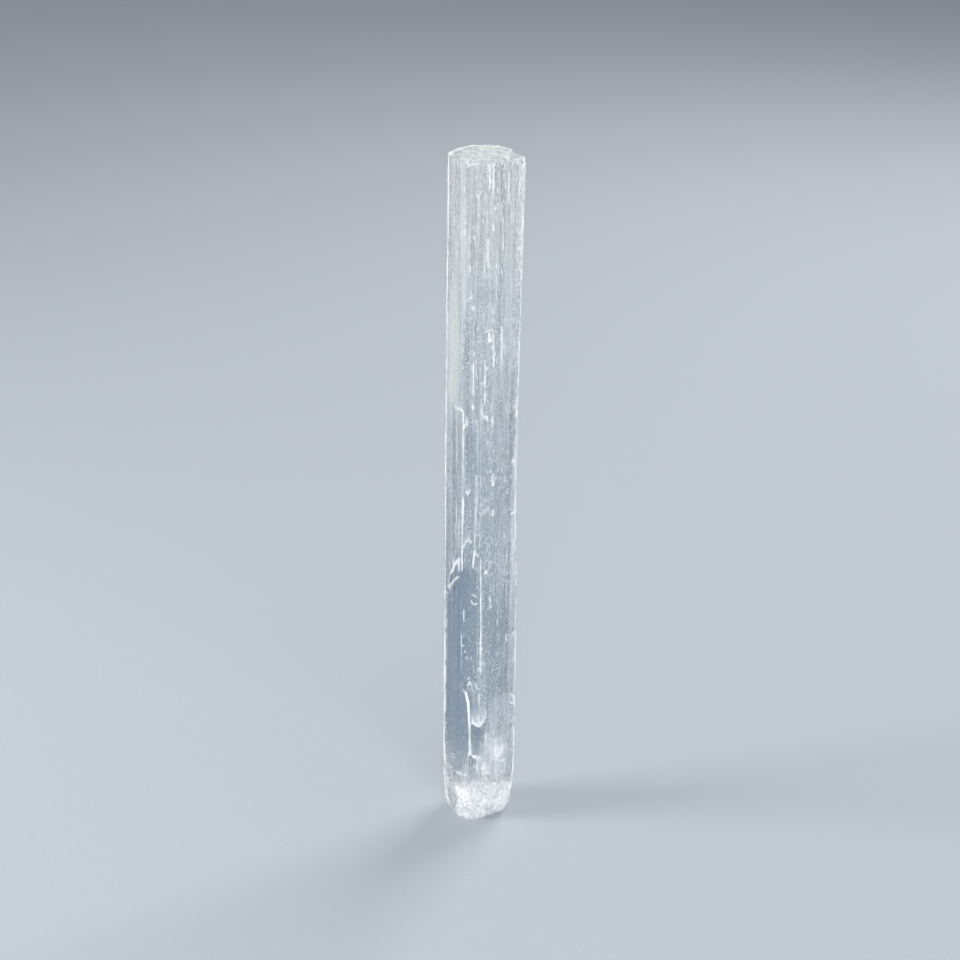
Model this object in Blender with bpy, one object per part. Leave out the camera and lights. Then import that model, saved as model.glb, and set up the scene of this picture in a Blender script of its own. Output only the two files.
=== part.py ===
"""A selenite crystal blade that stands on its sawn end: one solid, in metres, +Z up.

The blade is a long prism with seven soft facets. Sheets of the fibrous crystal have split off
its sides and left shallow scars with sharp ledges, its top is a rough sawn end with two lower
slabs, and its foot is crushed and tapers in to a flat base. -Y is the front, +X the right side.
Angles are in degrees about the blade's axis: 0 is the right side and 270 the front.
"""

import math
import random

import bmesh
import bpy
from mathutils import Matrix, Vector, noise

# Overall size
LENGTH = 0.200

# Facets of the section: name, the direction each one faces, and its distance from the axis
FACETS = (
    ("right", 0.0, 0.01070),
    ("back_right", 38.0, 0.00945),
    ("back", 90.0, 0.01012),
    ("back_left", 141.0, 0.00943),
    ("left", 203.5, 0.00956),
    ("front", 270.0, 0.01005),
    ("front_right", 301.0, 0.01040),
)
CORNER_SHARPNESS = 30.0  # the power of the soft maximum that rounds the section's corners

# The front left corner is worn to a chamfer on the lower half of the blade
CHAMFER_DIRECTION = 236.0
CHAMFER_HIGH = 0.01120  # its distance from the axis above the wear, where it cuts nothing
CHAMFER_LOW = 0.01035
CHAMFER_FROM, CHAMFER_TO = 0.088, 0.074  # heights between which the chamfer comes in

# Crushed foot: how far the base is inset by angle, and the share of it that is left by height
FOOT_BITE = (
    (0.0, 0.0018), (13.0, 0.0011), (60.0, 0.0017), (90.0, 0.0014), (130.0, 0.0015), (162.0, 0.0009),
    (178.0, 0.0017), (192.0, 0.0015), (204.0, 0.0013), (218.0, 0.0017), (231.0, 0.0015), (247.0, 0.0013),
    (259.0, 0.0013), (273.0, 0.0016), (284.0, 0.0024), (294.0, 0.0032), (318.0, 0.0037), (338.0, 0.0037),
    (351.0, 0.0023), (360.0, 0.0018),
)
FOOT_SHARE = (
    (0.0, 1.0), (0.0007, 0.84), (0.0022, 0.66), (0.0050, 0.44), (0.0085, 0.22), (0.0125, 0.07), (0.0170, 0.0),
)
FOOT_CRUMBLE = 0.00022

# Sheets that have split off: name, left and right edge (degrees), lower and upper end (metres),
# tilt of the lower and upper end (metres over the sheet's width), depth at the lower and upper end
SHEETS = (
    ("left_scar", 207.0, 236.0, 0.0790, 0.1295, 0.0090, -0.0010, 0.00040, 0.00032),
    ("lower_left", 183.0, 252.0, 0.0150, 0.0770, 0.0010, 0.0070, 0.00034, 0.00042),
    ("lower_front", 252.0, 270.5, 0.0452, 0.0812, -0.0020, 0.0008, 0.00036, 0.00042),
    ("middle_strip", 237.0, 261.5, 0.0900, 0.1262, 0.0030, 0.0012, 0.00024, 0.00020),
    ("under_flake", 252.5, 282.5, 0.0242, 0.0318, -0.0012, 0.0010, 0.00030, 0.00055),
    ("foot_front", 258.0, 281.0, 0.0186, 0.0242, -0.0010, -0.0012, 0.00022, 0.00028),
    ("foot_right", 282.5, 300.0, 0.0205, 0.0262, 0.0016, 0.0012, 0.00026, 0.00020),
    ("front_strip", 287.0, 297.0, 0.0960, 0.1880, 0.0020, -0.0020, 0.00018, 0.00012),
    ("right_hollow", 326.0, 383.0, 0.0800, 0.1280, 0.0040, 0.0, 0.00086, 0.00092),
    ("right_taper", 324.0, 385.0, 0.1280, 0.1930, 0.0, 0.0060, 0.00090, 0.00004),
    ("right_low", 338.0, 364.0, 0.0200, 0.0560, -0.0040, 0.0030, 0.00022, 0.00030),
    ("back_upper", 67.0, 101.0, 0.1130, 0.1780, 0.0060, -0.0060, 0.00042, 0.00030),
    ("back_lower", 84.0, 122.0, 0.0210, 0.0760, -0.0050, 0.0070, 0.00036, 0.00050),
    ("back_left_scar", 133.0, 163.0, 0.0620, 0.1420, 0.0080, 0.0050, 0.00040, 0.00024),
    ("back_right_scar", 30.0, 55.0, 0.0480, 0.1080, 0.0060, -0.0050, 0.00030, 0.00040),
)

# Fine columns of fibres: how many share a level, how deep they lie, how long they run
FIBRE_SPAN = (1, 4)
FIBRE_DEPTH = 0.00020
FIBRE_RUN = (0.020, 0.070)

# Mesh of the sides
COLUMN_STEP = 7.5
SIDE_GAP = 0.55  # half the turn between the two columns on either side of a sheet's edge
LEAST_COLUMN_GAP = 2.6
ROW_STEPS = ((0.0170, 0.0450, 12), (0.0450, 0.1980, 28))  # from, to, number of rows
LEDGE_HALF = 0.00014  # half the height of a ledge's face
LEAST_LEDGE_GAP = 0.00080
RIM_DROP = (0.00012, 0.00060)  # least and most height that the worn rim of the top loses
RIM_WAVES = 4.0  # how often the wear comes and goes around the rim

# Rings of the two end faces, as shares of the section
CAP_RINGS = (0.90, 0.64, 0.34)
# Sawn top: the lowest and highest of its torn steps, and their length and width
TOP_ROUGHNESS = 0.00055
TOP_STEP_LENGTH, TOP_STEP_WIDTH = 0.0090, 0.0024
# Lower slabs and pits of the top: name, centre x and y, width, depth, drop, turn (degrees)
TOP_CUTS = (
    ("top_left_slab", -0.01240, 0.0, 0.0086, 0.026, 0.00040, 8.0),
    ("top_right_slab", 0.01145, 0.0, 0.0104, 0.028, 0.00130, -6.0),
    ("top_back_wedge", 0.00600, 0.0085, 0.0056, 0.0080, 0.00060, -22.0),
    ("top_front_pit", -0.00330, -0.0108, 0.0060, 0.0060, 0.00070, -9.0),
)

# Chips: name, direction (degrees), height, half width, half height, half depth, how far the
# centre of the bite lies out from the surface, and its tilt (degrees)
CHIPS = (
    ("chip_scar", 259.0, 0.0722, 0.0010, 0.0019, 0.0006, 0.00022, 12.0),
    ("chip_left", 240.0, 0.0594, 0.0006, 0.0018, 0.0005, 0.00015, 6.0),
    ("chip_flake", 251.0, 0.0474, 0.0008, 0.0011, 0.0006, 0.00020, 25.0),
    ("chip_middle", 256.4, 0.1309, 0.0009, 0.0014, 0.0006, 0.00018, -24.0),
    ("chip_centre", 271.5, 0.1280, 0.0008, 0.0017, 0.0005, 0.00018, 20.0),
    ("chip_bright", 278.0, 0.1518, 0.0007, 0.0016, 0.0005, 0.00012, 0.0),
    ("chip_edge_high", 327.0, 0.1287, 0.0010, 0.0013, 0.0007, 0.00012, -24.0),
    ("chip_edge_mid", 324.0, 0.1110, 0.0009, 0.0034, 0.0006, 0.00010, 6.0),
    ("chip_edge_low", 322.0, 0.0992, 0.0018, 0.0010, 0.0007, 0.00016, 38.0),
    ("chip_back", 83.0, 0.0920, 0.0015, 0.0028, 0.0008, 0.00020, 18.0),
    ("chip_back_edge", 66.0, 0.1480, 0.0011, 0.0024, 0.0009, 0.00020, -12.0),
)

SEED = 11


def clear_scene():
    for old in list(bpy.data.objects):
        bpy.data.objects.remove(old, do_unlink=True)


def collection_named(name):
    made = bpy.data.collections.new(name)
    bpy.context.scene.collection.children.link(made)
    return made


def between(value, low, high):
    """The share of the way from low to high, held to 0 to 1."""
    return min(1.0, max(0.0, (value - low) / (high - low)))


def table_value(table, at):
    """The value of a (place, value) table at a place, straight between its rows."""
    for (low, first), (high, second) in zip(table, table[1:]):
        if at <= high:
            return first + (second - first) * between(at, low, high)
    return table[-1][1]


def section_radius(angle, height):
    """Distance from the axis to the whole blade's surface: a soft maximum over the facets."""
    chamfer = CHAMFER_HIGH + (CHAMFER_LOW - CHAMFER_HIGH) * between(height, CHAMFER_FROM, CHAMFER_TO)
    facets = [(direction, distance) for _, direction, distance in FACETS]
    facets.append((CHAMFER_DIRECTION, chamfer))
    total = 0.0
    for direction, distance in facets:
        facing = math.cos(math.radians(angle - direction))
        if facing > 0.0:
            total += (facing / distance) ** CORNER_SHARPNESS
    return total ** (-1.0 / CORNER_SHARPNESS)


def sheet_ends(sheet, angle):
    """Lower and upper end of a sheet at an angle, or None where the sheet doesn't reach."""
    _, left, right, low, high, low_tilt, high_tilt, _, _ = sheet
    for turned in (angle, angle + 360.0):
        if left <= turned <= right:
            share = (turned - left) / (right - left) - 0.5
            return low + low_tilt * share, high + high_tilt * share
    return None


def sheet_depth(angle, height):
    """How deep the sheets that have split off leave the surface."""
    depth = 0.0
    for sheet in SHEETS:
        ends = sheet_ends(sheet, angle)
        if ends and ends[0] < height < ends[1]:
            share = (height - ends[0]) / (ends[1] - ends[0])
            depth = max(depth, sheet[7] + (sheet[8] - sheet[7]) * share)
    return depth


def column_angles():
    """Angles of the columns: an even ring, with a close pair at each sheet's edge."""
    edges = sorted({edge % 360.0 for sheet in SHEETS for edge in sheet[1:3]})
    spread = [edges[0]]
    for edge in edges[1:]:
        if edge - spread[-1] > 2.0 * SIDE_GAP + 0.3:
            spread.append(edge)
    angles = [edge + side * SIDE_GAP for edge in spread for side in (-1.0, 1.0)]
    even = [COLUMN_STEP * index for index in range(int(360.0 / COLUMN_STEP))]
    for angle in even:
        if all(abs((angle - other + 180.0) % 360.0 - 180.0) > LEAST_COLUMN_GAP for other in angles):
            angles.append(angle)
    return sorted(angle % 360.0 for angle in angles)


def even_heights():
    """Heights of the rows before the ledges draw them in."""
    heights = [height for height, _ in FOOT_SHARE]
    for low, high, count in ROW_STEPS:
        heights += [low + (high - low) * (index + 1) / count for index in range(count)]
    heights += [LENGTH - RIM_DROP[1]]
    return heights


def column_heights(angle, heights):
    """The rows of one column, with a close pair drawn to each ledge that it crosses."""
    placed = list(heights)
    taken = set(range(len(FOOT_SHARE))) | {len(placed) - 1}
    last_ledge = 0.0
    for ledge in sorted(end for sheet in SHEETS for end in (sheet_ends(sheet, angle) or ())):
        if ledge - last_ledge < LEAST_LEDGE_GAP:
            continue
        last_ledge = ledge
        free = [
            index
            for index in range(len(placed) - 1)
            if index not in taken and index + 1 not in taken
        ]
        if not free:
            continue
        nearest = min(free, key=lambda index: abs((heights[index] + heights[index + 1]) / 2.0 - ledge))
        placed[nearest], placed[nearest + 1] = ledge - LEDGE_HALF, ledge + LEDGE_HALF
        taken |= {nearest, nearest + 1}
    return sorted(placed)


def fibre_levels(angles, dice):
    """For each column, its fibres' level by height: a list of (height, depth) steps."""
    levels = []
    while len(levels) < len(angles):
        steps, height = [], 0.0
        while height < LENGTH:
            steps.append((height, dice.uniform(0.0, FIBRE_DEPTH)))
            height += dice.uniform(*FIBRE_RUN)
        for _ in range(dice.randint(*FIBRE_SPAN)):
            levels.append(steps)
    return levels[: len(angles)]


def fibre_depth(steps, height):
    return [depth for start, depth in steps if start <= height][-1]


def build_grid(columns, rows):
    """A closed cylinder with its side cut into rows, and its side vertices by row and column."""
    mesh = bmesh.new()
    bmesh.ops.create_cone(
        mesh, cap_ends=True, cap_tris=False, segments=columns, radius1=0.01, radius2=0.01, depth=LENGTH
    )
    bmesh.ops.translate(mesh, verts=mesh.verts, vec=(0.0, 0.0, LENGTH / 2.0))
    for row in range(1, rows - 1):
        bmesh.ops.bisect_plane(
            mesh,
            geom=list(mesh.verts) + list(mesh.edges) + list(mesh.faces),
            plane_co=(0.0, 0.0, LENGTH * row / (rows - 1)),
            plane_no=(0.0, 0.0, 1.0),
        )
    grid = {}
    for vertex in mesh.verts:
        turn = math.atan2(vertex.co.y, vertex.co.x) / math.tau * columns
        grid[round(vertex.co.z / LENGTH * (rows - 1)), round(turn) % columns] = vertex
    return mesh, grid


def rim_wear(turn):
    """How much height and width the top's rim has lost at a turn, in radians."""
    wave = noise.noise(Vector((math.cos(turn), math.sin(turn), 0.5)) * RIM_WAVES)
    return RIM_DROP[0] + (RIM_DROP[1] - RIM_DROP[0]) * between(wave, -0.5, 0.5)


def place_sides(grid, angles, dice):
    """Moves the side vertices to the blade's surface."""
    heights = even_heights()
    levels = fibre_levels(angles, dice)
    foot_rows = len(FOOT_SHARE)
    for column, angle in enumerate(angles):
        placed = column_heights(angle, heights)
        turn = math.radians(angle)
        for row, height in enumerate(placed):
            inset = table_value(FOOT_BITE, angle) * table_value(FOOT_SHARE, height)
            inset += sheet_depth(angle, height) + fibre_depth(levels[column], height)
            if row < foot_rows:
                inset += dice.uniform(0.0, 1.0) * FOOT_CRUMBLE
            if row == len(placed) - 1:
                worn = rim_wear(turn)
                inset, height = inset + worn, LENGTH - worn
            reach = section_radius(angle, height) - inset
            grid[row, column].co = (reach * math.cos(turn), reach * math.sin(turn), height)


def top_height(x, y):
    """The sawn top's height: torn steps that run from left to right."""
    rough = noise.noise(Vector((x / TOP_STEP_LENGTH, y / TOP_STEP_WIDTH, 0.0)))
    return LENGTH - TOP_ROUGHNESS * between(rough, -0.5, 0.5)


def ring_the_cap(mesh, grid, row, columns, level):
    """Insets an end face ring by ring. level gives the height of each new vertex at x and y."""
    rim = [grid[row, column] for column in range(columns)]
    cap = next(face for face in mesh.faces if len(face.verts) == columns and set(face.verts) == set(rim))
    outline = [vertex.co.xy for vertex in rim]
    shrunk = 1.0
    for share in CAP_RINGS:
        bmesh.ops.inset_region(mesh, faces=[cap], thickness=1e-5, use_even_offset=False)
        for vertex in cap.verts:
            nearest = min(outline, key=lambda point: (point - vertex.co.xy / shrunk).length)
            vertex.co.xy = nearest * share
            vertex.co.z = level(vertex.co.x, vertex.co.y)
        shrunk = share
    centre = bmesh.ops.poke(mesh, faces=[cap])["verts"][0]
    centre.co = (0.0, 0.0, level(0.0, 0.0))


def centre_on_axis(mesh):
    """Slides the blade so that its bounding box is centred on the vertical axis."""
    for axis in (0, 1):
        places = [vertex.co[axis] for vertex in mesh.verts]
        shift = -(min(places) + max(places)) / 2.0
        for vertex in mesh.verts:
            vertex.co[axis] += shift


def blade_mesh(dice):
    angles = column_angles()
    columns, rows = len(angles), len(even_heights())
    mesh, grid = build_grid(columns, rows)
    place_sides(grid, angles, dice)
    ring_the_cap(mesh, grid, rows - 1, columns, top_height)
    ring_the_cap(mesh, grid, 0, columns, lambda x, y: 0.0)
    centre_on_axis(mesh)
    bmesh.ops.recalc_face_normals(mesh, faces=mesh.faces)
    data = bpy.data.meshes.new("selenite_blade")
    mesh.to_mesh(data)
    mesh.free()
    return data


def add_cutter(name, mesh, cutters):
    data = bpy.data.meshes.new(name)
    mesh.to_mesh(data)
    mesh.free()
    cutter = bpy.data.objects.new(name, data)
    cutter.hide_render = True
    cutter.display_type = "WIRE"
    cutters.objects.link(cutter)


def add_top_cutters(cutters):
    """Boxes that take the lower slabs and pits out of the sawn top."""
    box_height = 0.004
    for name, x, y, width, depth, drop, turn in TOP_CUTS:
        mesh = bmesh.new()
        bmesh.ops.create_cube(mesh, size=1.0)
        place = Matrix.Translation((x, y, LENGTH - drop + box_height / 2.0))
        place @= Matrix.Rotation(math.radians(turn), 4, "Z")
        place @= Matrix.Diagonal((width, depth, box_height, 1.0))
        bmesh.ops.transform(mesh, matrix=place, verts=mesh.verts)
        add_cutter(name, mesh, cutters)


def add_chip_cutters(cutters):
    """Faceted bites out of the sides."""
    for name, angle, height, half_width, half_height, half_depth, out, tilt in CHIPS:
        mesh = bmesh.new()
        bmesh.ops.create_icosphere(mesh, subdivisions=1, radius=1.0)
        reach = section_radius(angle, height) - sheet_depth(angle, height) + out
        place = Matrix.Rotation(math.radians(angle), 4, "Z")
        place @= Matrix.Translation((reach, 0.0, height))
        place @= Matrix.Rotation(math.radians(tilt), 4, "X")
        place @= Matrix.Diagonal((half_depth, half_width, half_height, 1.0))
        bmesh.ops.transform(mesh, matrix=place, verts=mesh.verts)
        add_cutter(name, mesh, cutters)


def crystal_material():
    material = bpy.data.materials.new("selenite")
    material.use_nodes = True
    shader = material.node_tree.nodes["Principled BSDF"]
    shader.inputs["Base Color"].default_value = (0.80, 0.86, 0.89, 1.0)
    shader.inputs["Metallic"].default_value = 0.0
    shader.inputs["Roughness"].default_value = 0.22
    shader.inputs["IOR"].default_value = 1.52
    shader.inputs["Transmission Weight"].default_value = 0.85
    return material


def add_blade(parts, cutters, dice):
    data = blade_mesh(dice)
    data.materials.append(crystal_material())
    data.shade_smooth()
    data.set_sharp_from_angle(angle=math.radians(24.0))
    blade = bpy.data.objects.new("selenite_blade", data)
    parts.objects.link(blade)
    cut = blade.modifiers.new("chips_and_slabs", "BOOLEAN")
    cut.operation = "DIFFERENCE"
    cut.solver = "EXACT"
    cut.operand_type = "COLLECTION"
    cut.collection = cutters


def main():
    clear_scene()
    dice = random.Random(SEED)
    parts = collection_named("selenite_crystal_blade")
    cutters = collection_named("cutters")
    add_top_cutters(cutters)
    add_chip_cutters(cutters)
    add_blade(parts, cutters, dice)


main()
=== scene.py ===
import math
from functools import reduce
from typing import NamedTuple

import bpy
import numpy as np
from bpy.props import FloatProperty, FloatVectorProperty, IntProperty, PointerProperty
from mathutils import Matrix, Vector, noise


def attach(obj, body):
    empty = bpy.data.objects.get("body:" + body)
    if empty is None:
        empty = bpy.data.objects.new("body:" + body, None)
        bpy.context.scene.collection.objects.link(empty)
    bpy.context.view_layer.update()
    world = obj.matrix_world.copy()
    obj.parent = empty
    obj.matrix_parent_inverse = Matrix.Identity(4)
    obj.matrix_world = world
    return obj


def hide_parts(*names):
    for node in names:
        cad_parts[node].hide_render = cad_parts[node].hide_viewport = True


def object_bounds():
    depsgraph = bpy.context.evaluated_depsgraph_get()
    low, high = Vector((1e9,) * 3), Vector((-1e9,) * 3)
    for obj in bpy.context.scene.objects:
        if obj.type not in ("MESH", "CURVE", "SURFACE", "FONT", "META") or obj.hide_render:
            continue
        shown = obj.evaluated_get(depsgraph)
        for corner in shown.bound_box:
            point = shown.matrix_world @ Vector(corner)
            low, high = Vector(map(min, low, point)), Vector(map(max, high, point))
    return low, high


bl_info = {
    "name": "Selenite crystal blade",
    "version": (1, 0, 0),
    "blender": (4, 5, 0),
    "location": "3D View > Sidebar > Selenite",
    "description": "Models a standing blade of fibrous selenite, its finish and the stage it stands on",
    "category": "Add Mesh",
}

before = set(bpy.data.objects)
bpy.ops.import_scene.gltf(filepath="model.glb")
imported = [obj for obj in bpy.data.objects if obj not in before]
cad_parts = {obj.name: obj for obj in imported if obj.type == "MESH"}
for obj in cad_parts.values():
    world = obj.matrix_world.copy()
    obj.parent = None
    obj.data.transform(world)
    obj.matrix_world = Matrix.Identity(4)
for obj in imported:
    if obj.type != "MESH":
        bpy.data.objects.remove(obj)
CAD_LOW, CAD_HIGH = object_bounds()

MM = 0.001
LENGTH = CAD_HIGH.z


def in_metres(units, *rows):
    """A table's rows, with the columns that units marks "m" turned from millimetres to metres."""
    scales = [MM if unit == "m" else 1 for unit in units]
    return tuple(tuple(value * scale for value, scale in zip(row, scales)) for row in rows)


# Where the blade's own axis lies: angles are in degrees about it, 0 to the right and 270 to the front
AXIS = np.array((-0.0000036, -0.0000322, 0.0))
# The blade's mean radius, which turns degrees into widths on its surface
REACH = 0.0104

# Facets of the section: the direction each one faces, and its distance from the axis
FACETS = in_metres(
    ".m",
    (0, 10.7), (38, 9.45), (90, 10.12), (141, 9.43), (203.5, 9.56), (270, 10.05), (301, 10.4),
)
# How sharp the corners between them are: more is sharper
CORNER_SHARPNESS = 55.0

# The blade narrows a little on its left towards the top
NARROW_SIDE, NARROW_DEPTH, NARROW_FROM, NARROW_TO = 178.0, 0.00034, 0.140, 0.194

# The front left corner is worn to a chamfer on the lower half of the blade
CHAMFER_DIRECTION = 236.0
CHAMFER_HIGH, CHAMFER_LOW = 0.01120, 0.01035
CHAMFER_FROM, CHAMFER_TO = 0.088, 0.074

# Crushed foot: how far the base is inset by angle, and the share of it that is left by height
FOOT_BITE = in_metres(
    ".m",
    (0, 1.8), (13, 1.1), (60, 1.7), (90, 1.4), (130, 1.5), (162, 0.9), (178, 1.7), (192, 1.5), (204, 1.3),
    (218, 1.7), (231, 1.5), (247, 1.3), (259, 1.3), (273, 1.6), (284, 2.4), (294, 3.2), (318, 3.7),
    (338, 3.7), (351, 2.3), (360, 1.8),
)
FOOT_SHARE = in_metres("m.", (0, 1), (0.7, 0.84), (2.2, 0.66), (5, 0.44), (8.5, 0.22), (12.5, 0.07), (17, 0))
# How much of the surface is crushed, by height
CRUSHED = in_metres("m.", (0, 1), (9.2, 1), (11.8, 0.84), (14.2, 0.42), (17.2, 0.17), (20, 0.05), (23, 0))
CRUSHED_TO = 0.0235
# Sizes of the foot's chunks, which lean on either side of a direction
LARGE_CHUNK, SMALL_CHUNK = (0.0028, 0.0028, 0.0034), (0.0009, 0.0009, 0.0011)
FOOT_LEAN_FROM = 262.0


class Sheet(NamedTuple):
    """A sheet of the crystal that has split off: edges in degrees, ends, tilts and depths in metres."""

    left: float
    right: float
    low: float
    high: float
    low_tilt: float
    high_tilt: float
    low_depth: float
    high_depth: float
    rag: float


# The large sheets, which the blade's outline and light follow
LARGE_SHEETS = [Sheet(*row) for row in in_metres(
    "..mmmmmmm",
    (211, 239.5, 82.6, 129.6, 4.2, 0.2, 0.4, 0.34, 0.5), (198, 217.5, 78.6, 98, 3.4, 6, 0.22, 0.1, 0.4),
    (183, 252, 15, 76.8, 1, 0, 0.34, 0.46, 0.3), (252, 270.5, 45.2, 81.2, -2, 0.8, 0.36, 0.42, 0.6),
    (240.5, 261, 90, 126.2, 3, 1.2, 0.2, 0.18, 0.6), (254, 282.5, 21.6, 31.8, -2.2, 0, 0.26, 0.6, 0.3),
    (258, 281, 18.2, 21.2, -1, -1, 0.22, 0.28, 0.4), (284, 304, 19.8, 26.2, 2, 1.2, 0.28, 0.2, 0.5),
    (287, 297, 96, 188, 2, -2, 0.14, 0.12, 2), (326, 383, 80, 129.2, 4, 0, 0.62, 0.96, 0.4),
    (324, 385, 128, 193, 0, 6, 0.9, 0.04, 0.4), (338, 364, 20, 56, -4, 3, 0.22, 0.3, 0.8),
    (67, 101, 113, 178, 6, -6, 0.42, 0.3, 1), (84, 122, 21, 76, -5, 7, 0.36, 0.5, 1),
    (133, 163, 62, 142, 8, 5, 0.4, 0.24, 1.2), (30, 55, 48, 108, 6, -5, 0.3, 0.4, 1),
    (328, 381, 64, 83, 2, 2, 0.08, 0.26, 0.6),
)]
LOWER_LEFT, UNDER_FLAKE = 2, 5
# The flake on the lower front: its ends, and how far its left edge lies from the straight one, by height
FLAKE_LOW, FLAKE_HIGH = 0.0310, 0.0452
FLAKE_EDGE = in_metres("m.", (31, 0), (33, 0), (38.6, -2), (42.4, -6), (44.3, -13), (45.2, -14))
# The flake's ragged lower end: how far it hangs below or above the ledge, by angle
FLAKE_END = in_metres(
    ".m",
    (254, 0.4), (258.1, 0.5), (260.7, 1), (262.6, 0.4), (266.3, 0), (270.6, -0.1), (273.4, 0), (274.6, 0.6),
    (277, 1.2), (279.6, 1.7), (280.4, 2.6), (282.1, 3), (284, 4),
)
# The slanting upper end of the large sheet that is missing from the lower left, by angle
LOWER_LEFT_END = in_metres(
    ".m",
    (183, 71.2), (192.7, 72.8), (201.5, 74.2), (218.8, 76.6), (231.4, 78.8), (232.6, 79.2), (233.4, 88),
    (243, 89.3), (247.3, 91), (252.7, 90.1),
)
# The upper end of the clear part there, by angle
CLEAR_END = in_metres(
    ".m",
    (183, 74.5), (198.5, 77.3), (207.9, 79), (218, 80.6), (226, 83), (233, 84.5), (234, 88.5), (243, 89.2),
    (247.3, 90.9), (252.7, 90), (256, 86.2), (262, 82.8), (269, 82.2),
)

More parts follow.
